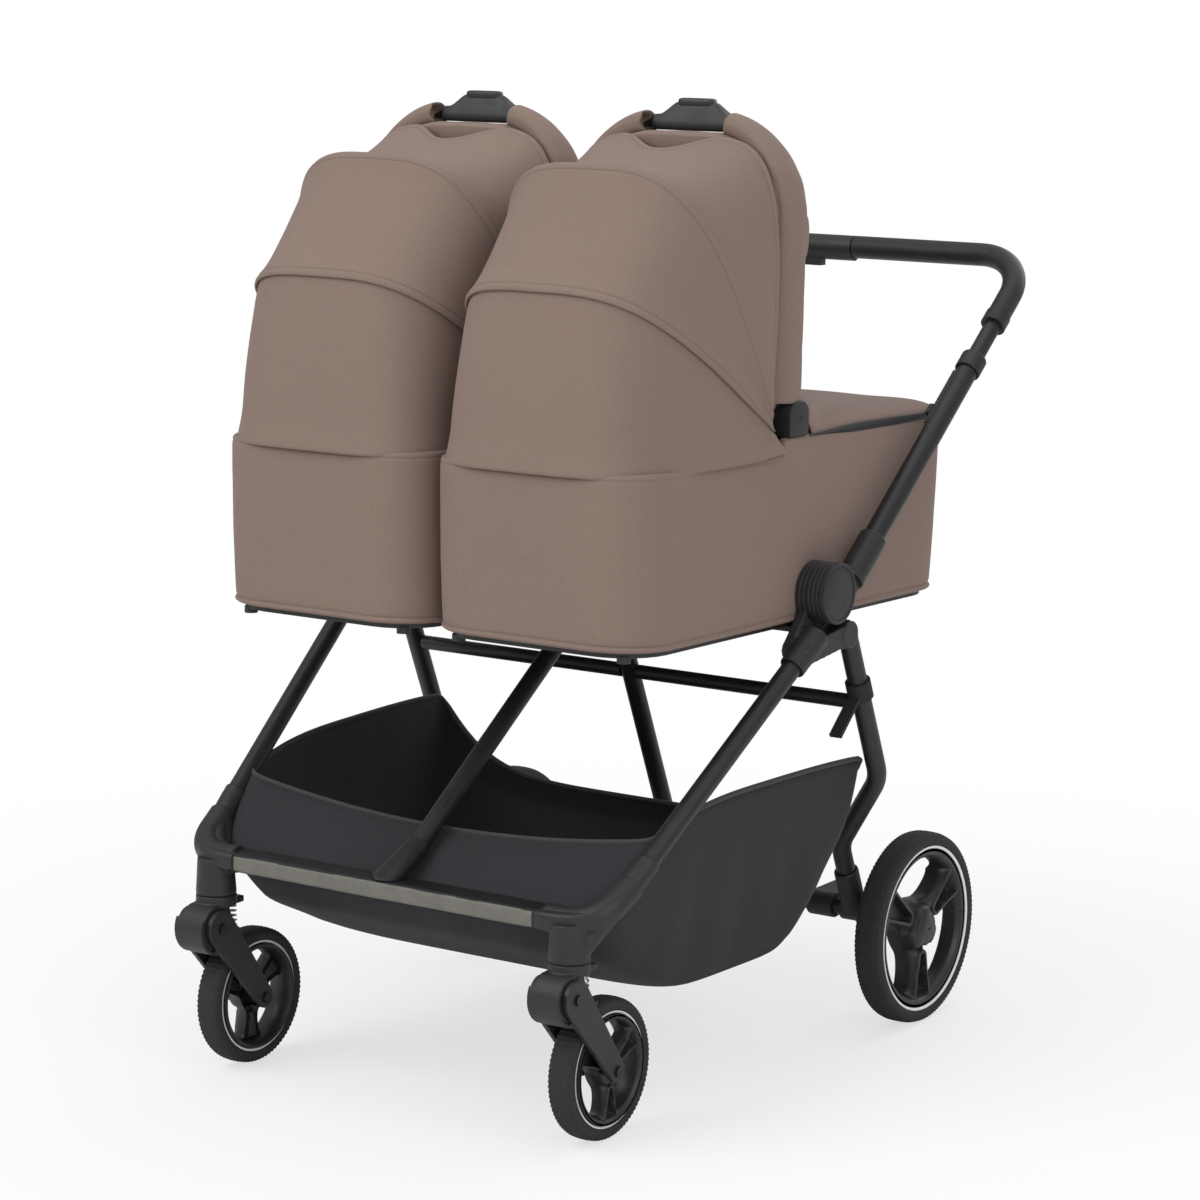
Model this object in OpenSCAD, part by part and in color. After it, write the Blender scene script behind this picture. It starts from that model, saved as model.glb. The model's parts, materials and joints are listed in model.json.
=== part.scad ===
// Twin pram: a side by side chassis with two hooded carrycots.
// Lengths in millimetres, +Z up, the front of the pram towards -Y, origin on the floor below the middle.
// Places along Y are measured from the front wheel axle and moved to the middle by placed().

/* [Wheels] */
// Distance between the middles of the front wheels
front_track = 583; // [560:1:590]
// Distance between the middles of the rear wheels
rear_track = 712; // [704:1:730]
// Distance from the front axle to the rear axle
wheelbase = 686; // [670:1:700]
// Outer diameter of a front tyre
front_wheel_d = 188; // [176:1:190]
// Width of a front tyre
front_tyre_w = 36; // [30:1:38]
// Height of a front tyre's section
front_tyre_h = 22; // [18:1:26]
// Outer diameter of a rear tyre
rear_wheel_d = 273; // [260:1:280]
// Width of a rear tyre
rear_tyre_w = 42; // [36:1:44]
// Height of a rear tyre's section
rear_tyre_h = 24; // [18:1:28]

/* [Casters] */
// Distance of the front axle behind the swivel axis
trail = 65; // [58:1:70]
// Distance of the fork pivot ahead of the swivel axis
knuckle_lead = 23; // [20:1:26]
// Height of the fork pivot
knuckle_z = 209; // [205:1:213]
// Diameter of the barrel that the fork turns on
knuckle_d = 62; // [56:1:64]
// Height of the swivel joint
swivel_z = 251; // [248:1:255]
// Diameter of the swivel sleeve
sleeve_d = 55; // [50:1:57]
// Diameter of the swivel spigot
spigot_d = 16; // [12:1:20]
// Thickness of a fork arm
arm_t = 8; // [6:0.5:9]

/* [Frame] */
// Diameter of the leg tubes
leg_d = 27; // [24:1:28]
// Height of the front bar
bar_z = 301; // [297:1:306]
// Distance from a caster's axis to the end of the front bar
corner_reach = 37.5; // [34:0.5:44]
// Diameter of the front bar's tube
bar_d = 20; // [16:1:22]
// Depth of the front bar's pad
pad_w = 46; // [40:1:48]
// Height of the front bar's pad
pad_h = 27; // [25:1:30]
// Distance of the folding hub behind the front axle
hub_y = 408; // [405:1:412]
// Height of the folding hub
hub_z = 660; // [657:1:663]
// Diameter of the folding hub
hub_d = 82; // [76:1:84]
// Width over the two hub caps
hub_span = 792; // [790:1:800]
// Diameter of the rear crossbar
crossbar_d = 20; // [16:1:24]
// Distance of the rear legs inside the hub caps, below the hubs
rear_leg_in = 16; // [14:1:17]
// Distance of the rear legs from the middle, beside the wheels
rear_foot_x = 292; // [286:1:294]

/* [Handle] */
// Distance of the handle tubes inside the hub caps
handle_in = 18; // [16:1:19]
// Rise of the handle above level, in degrees
handle_rise = 38.9; // [37.5:0.1:40]
// Diameter of the lower handle tubes
handle_d = 30; // [29:1:31]
// Diameter of the sliding handlebar tube
slider_d = 24; // [22:0.5:25]
// Length from the hub to the top of the lower tubes
handle_l = 469; // [455:1:480]
// Length from the top of the lower tubes to the handlebar
handle_out = 206; // [200:1:215]
// Bend radius of the handlebar
handle_bend = 80; // [70:1:90]
// Diameter of the grips
grip_d = 33; // [31:1:36]

/* [Carrycots] */
// Distance of the cots' reference behind the front axle
cot_y = 418; // [415:1:421]
// Gap between the two cots
cot_gap = 5; // [4:0.5:7]
// Distance of the cots' outer sides inside the hub caps
cot_in = 47.5; // [46:0.5:50]
// Length of a cot at its bottom
cot_l = 769; // [750:1:780]
// Height of a cot's wall
cot_h = 248; // [240:1:256]
// Thickness of a cot's wall
cot_wall = 14; // [10:1:18]
// Height of the cot's bottom at the hub
cot_z = 621; // [620:1:624]
// Slope of the cots towards the handle, in degrees
cot_tilt = 1.5; // [1:0.1:2]
// Height of the mattress
mattress_h = 40; // [30:1:55]
// Height of the hood's rear edge above the cot's bottom
hood_h = 639; // [620:1:645]
// Height of the carry handle's grip above the cot's bottom
grip_z = 665; // [655:1:670]
// Width of the padded handle sleeve
sleeve_w = 56; // [50:1:58]

/* [Basket] */
// Height of the basket's side edge
basket_top = 413; // [400:1:420]
// Height of the basket's bottom
basket_low = 134; // [125:1:150]
// Thickness of the basket's cloth
basket_t = 3; // [2:0.5:4]

/* [Hidden] */
$fn = 48;
gap = 0.3;
slack = 0.5;
over = 2;

// Places across the pram, from the hubs inwards
rear_leg_x = hub_span / 2 - rear_leg_in;
handle_x = hub_span / 2 - handle_in;
cot_w = hub_span / 2 - cot_in - cot_gap / 2;
cot_pitch = cot_w + cot_gap;

// Overall length, which sets the origin halfway along it
knuckle_y = -trail - knuckle_lead;
handle_dir = [0, cos(handle_rise), sin(handle_rise)];
handle_drop = 26;
handle_foot = [handle_x, hub_y, hub_z] - handle_drop * [0, -sin(handle_rise), cos(handle_rise)];
handle_top = handle_foot + handle_l * handle_dir;
handlebar_mid = handle_top + handle_out * handle_dir;
front_reach = knuckle_y - knuckle_d / 2;
rear_reach = handlebar_mid[1] + grip_d / 2;
mid_y = (front_reach + rear_reach) / 2;

// Legs and hubs
bar_l = front_track - 2 * corner_reach;
leg_out = 8;
leg_in = 14.6;
leg_low = [front_track / 2 + corner_reach + leg_out, 6, 340];
leg_high = [hub_span / 2 - leg_in, 371, 608.3];
leg_dir = (leg_high - leg_low) / norm(leg_high - leg_low);
socket_d = 36;
socket_l = 62;
socket_wall = (socket_d - leg_d) / 2;
knuckle2_y = 438;
knuckle2_z = 600;
pin_d = 12;
eye_d = 40;
eye_t = 17;
hub_in = 44;
hub_inner_x = hub_span / 2 - hub_in;
hub_drum_t = 14;
cap_t = 9.7;
drum_x = hub_inner_x + hub_drum_t + gap;
drum_t = hub_span / 2 - cap_t - drum_x;
eye_x = hub_span / 2 - cap_t + over - gap - eye_t;

// Front corner castings
corner_d = 37;
corner_bend = 48;
bar_y = -61;
corner_turn = [front_track / 2 + corner_reach, bar_y + over, bar_z];
corner_end = [bar_l / 2 + gap, bar_y, bar_z];
sleeve_flare = 6;

// Rear frame: the legs lie in one leaning plane, a little behind the pivot of the rear fold
rear_offset = 14.6;
fold_pivot = [0, knuckle2_y, knuckle2_z];
rear_top = fold_pivot + [0, rear_offset, 0];
rear_tube_y = 628;
rear_tube_z = 166;
rear_tube_d = 24;
rear_low = [0, rear_tube_y, rear_tube_z];
rear_dir = (rear_low - rear_top) / norm(rear_low - rear_top);
rear_len = norm(rear_low - rear_top);
bend_shares = [0.50, 0.765, 0.905];
rear_bend = 60;
crossbar_share = 0.24;
bracket_d = 35;
bracket_w = 35;
stub_d = 10;
front_bolt_d = 8;
pivot_bolt_d = 10;

// A point on a rear leg: share of the way down and distance from the middle
function rear_point(share, x) = [x, 0, 0] + rear_top + share * rear_len * rear_dir;

function unit(v) = v / norm(v);
function frame_of(x, y, z, p) = [
    [x[0], y[0], z[0], p[0]],
    [x[1], y[1], z[1], p[1]],
    [x[2], y[2], z[2], p[2]],
    [0, 0, 0, 1]
];

module placed() {
    translate([0, -mid_y, 0]) children();
}

// Draws its children on one side: 1 is the right, -1 the left
module on_side(s) {
    mirror([s < 0 ? 1 : 0, 0, 0]) children();
}

module both() {
    for (s = [-1, 1]) on_side(s) children();
}

module rod(a, b, d) {
    v = b - a;
    translate(a) rotate([0, acos(v[2] / norm(v)), atan2(v[1], v[0])]) cylinder(d = d, h = norm(v));
}

// A cylinder along X from x0 to x1 at a place in the side view
module x_rod(x0, x1, y, z, d) {
    translate([x0, y, z]) rotate([0, 90, 0]) cylinder(d = d, h = x1 - x0);
}

// Length that a bend of radius r takes from both tubes at point i of a path
function bend_angle(p, i) = acos(unit(p[i] - p[i - 1]) * unit(p[i + 1] - p[i]));
function bend_cut(p, i, r) = (i == 0 || i == len(p) - 1) ? 0 : r * tan(bend_angle(p, i) / 2);

// A tube along a path with round bends; a bend is a hair thinner and runs a little into its tubes
bend_lap = 0.8;
bend_less = 0.16;
module bent_tube(p, r, d) {
    for (i = [0 : len(p) - 2]) {
        u = unit(p[i + 1] - p[i]);
        rod(p[i] + u * bend_cut(p, i, r), p[i + 1] - u * bend_cut(p, i + 1, r), d);
    }
    for (i = [1 : len(p) - 2]) {
        u = unit(p[i] - p[i - 1]);
        v = unit(p[i + 1] - p[i]);
        n = unit(v - (v * u) * u);
        start = p[i] - u * bend_cut(p, i, r);
        multmatrix(frame_of(-n, u, cross(-n, u), start + r * n))
            rotate_extrude(angle = bend_angle(p, i) + 2 * bend_lap, start = -bend_lap)
                translate([r, 0]) circle(d = d - bend_less);
    }
}

// A flat bar with two round ends, as thick as x1 - x0, in the side view
module link(x0, x1, a, da, b, db) {
    hull() {
        x_rod(x0, x1, a[0], a[1], da, $fn = 32);
        x_rod(x0, x1, b[0], b[1], db, $fn = 32);
    }
}

function mean(p) = [for (k = [0 : 2]) [for (q = p) q[k]] * [for (q = p) 1] / len(p)];

// A closed solid over rings with equal counts of points
module loft(rings) {
    n = len(rings[0]);
    m = len(rings);
    points = concat([for (r = rings) each r], [mean(rings[0]), mean(rings[m - 1])]);
    sides = [for (i = [0 : m - 2]) for (j = [0 : n - 1]) each
        let (a = i * n + j, b = i * n + (j + 1) % n) [[a, a + n, b], [b, a + n, b + n]]];
    caps = [for (j = [0 : n - 1]) each
        let (k = (j + 1) % n, t = (m - 1) * n) [[m * n, j, k], [m * n + 1, t + k, t + j]]];
    polyhedron(points, concat(sides, caps));
}

// A sheet with a thickness, from equal grids of outer and inner points
module sheet(outer, inner) {
    m = len(outer);
    n = len(outer[0]);
    s = m * n;
    points = concat([for (r = outer) each r], [for (r = inner) each r]);
    faces = [for (i = [0 : m - 2]) for (j = [0 : n - 2]) each
        let (a = i * n + j, b = a + 1, c = a + n, d = a + n + 1)
        [[a, c, b], [b, c, d], [a + s, b + s, c + s], [b + s, d + s, c + s]]];
    rims = [for (j = [0 : n - 2]) each
        let (a = j, c = (m - 1) * n + j)
        [[a, a + 1, a + s], [a + 1, a + 1 + s, a + s], [c, c + s, c + 1], [c + 1, c + s, c + 1 + s]]];
    ends = [for (i = [0 : m - 2]) each
        let (a = i * n, c = i * n + n - 1)
        [[a, a + s, a + n], [a + n, a + s, a + n + s], [c, c + n, c + s], [c + n, c + n + s, c + s]]];
    polyhedron(points, concat(faces, rims, ends));
}

// Wheels
front_axle_z = front_wheel_d / 2;
rear_axle_z = rear_wheel_d / 2;
ring_w = 4;
ring_t = 0.6;
tread_share = 0.72;
bead_h = 5;
spokes = 3;
front_hub_d = 32;
front_hub_w = 40;
rear_hub_d = 52;
rear_hub_w = 34;
rim_t = 3.5;
spoke_t = 12;
spoke_rise = 3;
spoke_w_share = 0.62;
window_share = 0.5;

// Half of a tyre's section as shares of its width and height, from the bead to the crown
tyre_shares = [[0.36, 0], [0.43, 0.12], [0.48, 0.34], [0.5, 0.52], [0.48, 0.74], [0.41, 0.89], [0.26, 0.97], [0, 1]];

module tyre(d, w, h) {
    half = [for (q = tyre_shares) [d / 2 - h + h * q[1], w * q[0]]];
    back = [for (i = [len(half) - 2 : -1 : 0]) [half[i][0], -half[i][1]]];
    ring_r = d / 2 - h + h * tyre_shares[1][1];
    rotate([0, 90, 0]) {
        rotate_extrude($fn = 72) polygon(concat(half, back));
        for (k = [-1, 1])
            translate([0, 0, k > 0 ? w * tyre_shares[1][0] - ring_t : -w * tyre_shares[1][0] - ring_t])
                difference() {
                    cylinder(r = ring_r + ring_w, h = 2 * ring_t, $fn = 72);
                    translate([0, 0, -over]) cylinder(r = ring_r, h = 2 * ring_t + 2 * over, $fn = 72);
                }
    }
}

// A rim with a channel, a hub and forked spokes
module rim(d, w, hub_d2, hub_w, bore) {
    r = d / 2 - gap;
    difference() {
        rotate([0, 90, 0]) union() {
            difference() {
                cylinder(r = r, h = w, center = true, $fn = 72);
                cylinder(r = r - rim_t, h = w + over, center = true, $fn = 72);
            }
            cylinder(d = hub_d2, h = hub_w, center = true);
            for (k = [0 : spokes - 1]) rotate([0, 0, k * 360 / spokes]) difference() {
                spoke(r, hub_d2, spoke_t);
                translate([0, 0, spoke_t - spoke_rise]) spoke_window(r, hub_d2);
            }
        }
        rotate([0, 90, 0]) cylinder(d = bore, h = hub_w + w, center = true);
    }
}

module spoke(r, hub_d2, t) {
    linear_extrude(height = t) intersection() {
        circle(r = r - rim_t / 2, $fn = 72);
        polygon([
            [0, -hub_d2 * spoke_w_share / 2], [r, -hub_d2 * spoke_w_share],
            [r, hub_d2 * spoke_w_share], [0, hub_d2 * spoke_w_share / 2]
        ]);
    }
}

module spoke_window(r, hub_d2) {
    w = hub_d2 * spoke_w_share * window_share;
    linear_extrude(height = spoke_t) {
        translate([hub_d2 / 2 + w, 0]) circle(d = w);
        translate([hub_d2 / 2 + w, -w / 2]) square([r - hub_d2 / 2 - w - rim_t, w]);
    }
}

module front_tyre(s) {
    color("#1b1b1c") placed() translate([s * front_track / 2, 0, front_axle_z])
        tyre(front_wheel_d, front_tyre_w, front_tyre_h);
}

module front_rim(s) {
    color("#202022") placed() on_side(s) translate([front_track / 2, 0, front_axle_z])
        rim(front_wheel_d - 2 * front_tyre_h, front_tyre_w * tread_share, front_hub_d, front_hub_w,
            front_bolt_d + slack);
}

module rear_tyre(s) {
    color("#1b1b1c") placed() translate([s * rear_track / 2, wheelbase, rear_axle_z])
        tyre(rear_wheel_d, rear_tyre_w, rear_tyre_h);
}

module rear_rim(s) {
    color("#202022") placed() on_side(s) translate([rear_track / 2, wheelbase, rear_axle_z])
        rim(rear_wheel_d - 2 * rear_tyre_h, rear_tyre_w * tread_share, rear_hub_d, rear_hub_w, stub_d + slack);
}

// Casters
arm_x = front_hub_w / 2 + over;
barrel_w = 2 * (arm_x - slack);
stem_low_share = 0.28;
stem_neck_share = 0.74;
spigot_h = 26;
seat_w = 30;
seat_t = 9;
seat_y = -38;
seat_z = 241;
cup_z = 196;
cup_d = 26;
web_t = 5;
web_start = 150;
web_turn = 125;
boss_d = 50;
toe_d = 30;
head_d = 15;
head_t = 3;

module at_caster(s) {
    placed() on_side(s) translate([front_track / 2, 0, 0]) children();
}

module caster_stem(s) {
    color("#2a2a2b") at_caster(s) difference() {
        union() {
            translate([0, -trail, swivel_z - slack - sleeve_d * stem_low_share])
                cylinder(d = sleeve_d, h = sleeve_d * stem_low_share);
            translate([0, -trail, swivel_z - slack - over]) cylinder(d = spigot_d, h = spigot_h + over);
            hull() {
                x_rod(-barrel_w / 2, barrel_w / 2, knuckle_y, knuckle_z, knuckle_d, $fn = 32);
                translate([0, -trail, swivel_z - sleeve_d * stem_low_share])
                    cylinder(d = barrel_w * stem_neck_share, h = over, $fn = 32);
            }
            translate([-seat_w / 2, -trail, seat_z - seat_t]) cube([seat_w, seat_y + trail + cup_d / 2, seat_t]);
        }
        x_rod(-barrel_w, barrel_w, knuckle_y, knuckle_z, pivot_bolt_d + slack);
    }
}

module fork_arm() {
    link(arm_x, arm_x + arm_t, [knuckle_y, knuckle_z], boss_d, [0, front_axle_z], toe_d);
}

module caster_fork(s) {
    color("#28282a") at_caster(s) difference() {
        union() {
            both() fork_arm();
            translate([-arm_x - over, knuckle_y, knuckle_z]) rotate([90, 0, 90])
                rotate_extrude(angle = web_turn, start = web_start)
                    translate([knuckle_d / 2 + slack, 0]) square([web_t, 2 * (arm_x + over)]);
            translate([-arm_x - over, seat_y - cup_d / 2 - web_t, cup_z - web_t])
                cube([2 * (arm_x + over), cup_d / 2 + web_t + over, web_t]);
            translate([0, seat_y, cup_z - web_t]) cylinder(d = cup_d, h = web_t);
        }
        x_rod(-front_track, front_track, knuckle_y, knuckle_z, pivot_bolt_d + slack);
        x_rod(-front_track, front_track, 0, front_axle_z, front_bolt_d + slack);
    }
}

module bolt(y, z, d) {
    end = arm_x + arm_t + gap;
    x_rod(-end, end, y, z, d);
    for (k = [-1, 1]) x_rod(k > 0 ? end : -end - head_t, k > 0 ? end + head_t : -end, y, z, head_d);
}

module caster_bolts(s) {
    color("#4b4b4d") at_caster(s) {
        bolt(knuckle_y, knuckle_z, pivot_bolt_d);
        bolt(0, front_axle_z, front_bolt_d);
    }
}

// Coil spring between the stem's seat and the fork's cup: one unbroken tube
spring_turns = 5;
spring_d = 17;
wire_d = 2.6;
spring_rings = 8;
spring_sides = 6;
spring_low = cup_z + wire_d / 2 + gap;
spring_high = seat_z - seat_t - wire_d / 2 - gap;
function spring_at(i) = let (a = 360 * i / spring_rings, n = spring_turns * spring_rings)
    [spring_d / 2 * cos(a), spring_d / 2 * sin(a), spring_low + (spring_high - spring_low) * i / n];
spring_path = [for (i = [0 : spring_turns * spring_rings]) spring_at(i)];
spring_self = min([for (i = [0 : len(spring_path) - 1]) for (j = [i + spring_rings / 2 : len(spring_path) - 1])
    norm(spring_path[i] - spring_path[j])]) - wire_d;
echo(spring_least_gap = spring_self);

module caster_spring(s) {
    rings = [for (i = [0 : len(spring_path) - 1])
        let (a = 360 * i / spring_rings, out = [cos(a), sin(a), 0])
        [for (k = [0 : spring_sides - 1]) let (b = 360 * k / spring_sides)
            spring_path[i] + wire_d / 2 * (cos(b) * out + sin(b) * [0, 0, 1])]];
    color("#b9bcc0") at_caster(s) translate([0, seat_y, 0]) loft(rings);
}

// Chassis
module front_legs() {
    color("#29292a") placed() both() rod(leg_low, leg_high, leg_d);
}

module front_corners() {
    color("#2c2c2d") placed() both() difference() {
        union() {
            bent_tube([leg_low + over * leg_dir, corner_turn, corner_end], corner_bend, corner_d);
            translate([front_track / 2, -trail, swivel_z])
                cylinder(d1 = sleeve_d, d2 = sleeve_d - sleeve_flare, h = bar_z - swivel_z);
            hull() {
                translate([front_track / 2, -trail, swivel_z + sleeve_flare])
                    cylinder(d = sleeve_d - sleeve_flare, h = over, $fn = 32);
                rod(leg_low - 2 * over * leg_dir, leg_low - over * leg_dir, corner_d - sleeve_flare, $fn = 32);
            }
        }
        translate([front_track / 2, -trail, swivel_z - over]) cylinder(d = spigot_d + slack, h = spigot_h + 2 * over);
        rod(leg_low - gap * leg_dir, leg_low + socket_l * leg_dir, corner_d + 2 * over);
    }
}

module front_bar() {
    color("#2a2a2b") placed() x_rod(-bar_l / 2, bar_l / 2, bar_y, bar_z, bar_d);
}

// A bar along X with rounded edges
module rounded_bar(l, w, h, r) {
    rotate([90, 0, 90]) linear_extrude(height = l, center = true) {
        square([w - 2 * r, h], center = true);
        square([w, h - 2 * r], center = true);
        for (i = [-1, 1]) for (k = [-1, 1]) translate([i * (w / 2 - r), k * (h / 2 - r)]) circle(r = r);
    }
}

pad_r = 9;
module front_bar_pad() {
    color("#66655f") placed() difference() {
        translate([0, bar_y, bar_z]) rounded_bar(bar_l - slack, pad_w, pad_h, pad_r);
        x_rod(-bar_l, bar_l, bar_y, bar_z, bar_d + slack);
    }
}

foot_w = 42;
foot_t = 5;
foot_top = [0, 2, 344];
strut_high = [0, 360, 594];
strut_d = 26;
foot_neck = 32;
module centre_strut_front() {
    u = unit(strut_high - foot_top);
    color("#2a2a2b") placed() {
        rod(foot_top, strut_high, strut_d);
        hull() {
            rod(foot_top, foot_top + u * over, foot_neck, $fn = 32);
            translate([0, bar_y, bar_z + pad_h / 2 + gap]) cylinder(d = foot_w, h = foot_t, $fn = 32);
        }
    }
}

module leg_socket() {
    rod(leg_high - socket_l * leg_dir, leg_high + over * leg_dir, socket_d);
}

arm_share = 0.5;
cheek_d = 28;
hub_arm_d = 44;
hub_arm_drop = 16;
module side_hubs() {
    mouth = leg_high - socket_l * leg_dir;
    arm = leg_high - arm_share * socket_l * leg_dir;
    pivot = [knuckle2_y, knuckle2_z];
    cap_x = eye_x + eye_t + gap;
    color("#2b2b2c") placed() both() difference() {
        union() {
            x_rod(hub_inner_x, hub_inner_x + hub_drum_t, hub_y, hub_z, hub_d);
            link(hub_inner_x, hub_inner_x + hub_drum_t, [hub_y, hub_z - hub_arm_drop], hub_arm_d,
                [arm[1], arm[2]], cheek_d);
            link(hub_inner_x, eye_x - gap, [arm[1], arm[2]], cheek_d, pivot, eye_d - over);
            link(cap_x, hub_span / 2 - over, [arm[1], arm[2]], cheek_d, pivot, cheek_d);
            leg_socket();
            x_rod(hub_inner_x, hub_span / 2, knuckle2_y, knuckle2_z, pin_d);
            x_rod(cap_x, hub_span / 2, knuckle2_y, knuckle2_z, eye_d - over);
        }
        rod(mouth - over * leg_dir, leg_high, leg_d + 2 * gap);
        x_rod(hub_inner_x + hub_drum_t, hub_span, hub_y, hub_z, hub_d + slack);
    }
}

// Handle: the drum and its socket turn on the hub
socket_out = 47;
handle_socket_d = 39;
handle_socket_end = 124;
handle_arm_d = 36;
handle_start = 70;
collar_d = 37;
collar_l = 26;
rim_groove = 1.5;
groove_w = 2.4;

module handle_sockets() {
    out = handle_foot + socket_out * handle_dir;
    color("#2b2b2c") placed() both() difference() {
        union() {
            x_rod(drum_x, drum_x + drum_t, hub_y, hub_z, hub_d);
            link(drum_x, drum_x + drum_t, [hub_y, hub_z], hub_d, [out[1], out[2]], handle_arm_d);
            rod(out, handle_foot + handle_socket_end * handle_dir, handle_socket_d);
        }
        rod(handle_foot + handle_start * handle_dir, handle_top, handle_d + 2 * gap);
        translate([drum_x + drum_t / 2 - groove_w / 2, hub_y, hub_z]) rotate([0, 90, 0]) difference() {
            cylinder(d = hub_d + over, h = groove_w);
            translate([0, 0, -over]) cylinder(d = hub_d - 2 * rim_groove, h = groove_w + 2 * over);
        }
    }
}

cap_edge = 2.5;
module hub_caps() {
    x = hub_span / 2 - cap_t;
    color("#303031") placed() both() translate([x, hub_y, hub_z]) rotate([0, 90, 0])
        rotate_extrude($fn = 72) polygon([
            [0, 0], [hub_d / 2, 0], [hub_d / 2, cap_t - cap_edge], [hub_d / 2 - cap_edge, cap_t],
            [hub_d / 2 - 3 * cap_edge, cap_t], [hub_d / 2 - 3 * cap_edge, cap_t - cap_edge / 2],
            [0, cap_t - cap_edge / 2]
        ]);
}

module handle_tubes() {
    color("#29292a") placed() both() difference() {
        rod(handle_foot + (handle_start + gap) * handle_dir, handle_top, handle_d);
        rod(handle_foot + (handle_start + over) * handle_dir, handle_top + over * handle_dir, slider_d + 2 * gap);
    }
}

rail_w = 9;
rail_t = 4;
rail_from = 130;
rail_to = 28;
module handle_collars() {
    color("#303031") placed() both() {
        difference() {
            rod(handle_top - collar_l * handle_dir, handle_top + over * handle_dir, collar_d);
            rod(handle_top - collar_l * handle_dir * over, handle_top, handle_d + gap);
            rod(handle_top - collar_l * handle_dir, handle_top + collar_l * handle_dir, slider_d + 2 * gap);
        }
    }
}

// The handlebar's own path, used by the tube, the grips and their collars
slider_in = 150;
slider_low = handle_top - slider_in * handle_dir;
function across(p) = [-p[0], p[1], p[2]];
bar_path = [slider_low, handlebar_mid, across(handlebar_mid), across(slider_low)];
grip_start = 84;
grip_end_x = 88;
grip_collar_l = 18;
grip_collar_d = 36;

module handlebar() {
    color("#2d2d2e") placed() bent_tube(bar_path, handle_bend, slider_d);
}

module handle_grips() {
    low = handle_top + grip_start * handle_dir;
    end = [grip_end_x, handlebar_mid[1], handlebar_mid[2]];
    color("#1f1f20") placed() both() difference() {
        union() {
            bent_tube([low, handlebar_mid, end], handle_bend, grip_d);
            rod(low - grip_collar_l * handle_dir, low + over * handle_dir, grip_collar_d);
        }
        bent_tube([low - 2 * grip_collar_l * handle_dir, handlebar_mid, end - [over, 0, 0]], handle_bend,
            slider_d + slack);
    }
}

housing_h = 37;
housing_low_d = 22;
trigger_l = 62;
trigger_w = 14;
trigger_h = 16;
trigger_travel = 5;
trigger_drop = 9;
housing_l = 2 * (grip_end_x - over);

module release_housing() {
    y = handlebar_mid[1];
    z = handlebar_mid[2];
    low = z - housing_h + grip_d / 2 + housing_low_d / 2;
    color("#29292a") placed() difference() {
        hull() {
            x_rod(-housing_l / 2, housing_l / 2, y, z, grip_d, $fn = 32);
            x_rod(-housing_l / 2, housing_l / 2, y, low, housing_low_d, $fn = 32);
        }
        x_rod(-housing_l, housing_l, y, z, slider_d + slack);
        translate([-trigger_l / 2 - gap, y - trigger_w / 2 - gap, low - housing_low_d])
            cube([trigger_l + 2 * gap, trigger_w + 2 * gap, z - slider_d / 2 - low + housing_low_d - gap]);
    }
}

module fold_trigger() {
    y = handlebar_mid[1];
    low = handlebar_mid[2] - housing_h + grip_d / 2;
    top = handlebar_mid[2] - slider_d / 2 - trigger_travel - 2 * gap;
    color("#3a3a3c") placed() translate([-trigger_l / 2, y - trigger_w / 2, low - trigger_drop])
        cube([trigger_l, trigger_w, top - low + trigger_drop]);
}

// Height sliders ride on rails along the inner side of the lower tubes
button_from = 112;
button_l = 18;
button_t = 7;
module rail(from, to, x0, x1, w) {
    u = handle_dir;
    n = [0, -sin(handle_rise), cos(handle_rise)];
    multmatrix(frame_of([1, 0, 0], u, n, handle_top - from * u))
        translate([x0 - handle_x, 0, -w / 2]) cube([x1 - x0, from - to, w]);
}

module height_rails() {
    x = handle_x - handle_d / 2 - gap;
    color("#303031") placed() both() rail(rail_from, rail_to, x - rail_t, x, rail_w);
}

module height_buttons() {
    x = handle_x - handle_d / 2 - rail_t - 2 * gap;
    color("#3c3c3e") placed() both()
        rail(button_from, button_from - button_l, x - button_t, x, rail_w);
}

// Rear frame
module rear_legs() {
    path = [rear_point(0, rear_leg_x), rear_point(bend_shares[0], rear_leg_x),
        rear_point(bend_shares[1], rear_foot_x), rear_point(bend_shares[2], rear_foot_x)];
    color("#29292a") placed() both() difference() {
        union() {
            bent_tube(path, rear_bend, leg_d);
            x_rod(eye_x, eye_x + eye_t, knuckle2_y, knuckle2_z, eye_d);
        }
        x_rod(eye_x - leg_d, eye_x, knuckle2_y, knuckle2_z, eye_d + over);
        x_rod(eye_x + eye_t, hub_span, knuckle2_y, knuckle2_z, eye_d + over);
        x_rod(0, hub_span, knuckle2_y, knuckle2_z, pin_d + slack);
    }
}

module rear_crossbar() {
    p = rear_point(crossbar_share, 0);
    color("#29292a") placed() both()
        x_rod(strut_d / 2 + gap, rear_leg_x - leg_d / 2 - gap, p[1], p[2], crossbar_d);
}

module centre_strut_rear() {
    low = rear_low - (rear_tube_d / 2 + gap) * rear_dir;
    color("#29292a") placed() difference() {
        union() {
            rod(rear_top, low, strut_d);
            x_rod(-eye_t, eye_t, knuckle2_y, knuckle2_z, strut_d);
            x_rod(-strut_d / 2, strut_d / 2, knuckle2_y, knuckle2_z - over, strut_d);
        }
        x_rod(-hub_span, hub_span, knuckle2_y, knuckle2_z, pin_d + slack);
        rod(rear_low - [hub_span, 0, 0], rear_low + [hub_span, 0, 0], rear_tube_d + 2 * gap);
    }
}

module rear_axle_tube() {
    color("#29292a") placed()
        x_rod(-rear_foot_x + bracket_w / 2 + gap, rear_foot_x - bracket_w / 2 - gap, rear_tube_y, rear_tube_z,
            rear_tube_d);
}

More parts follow.
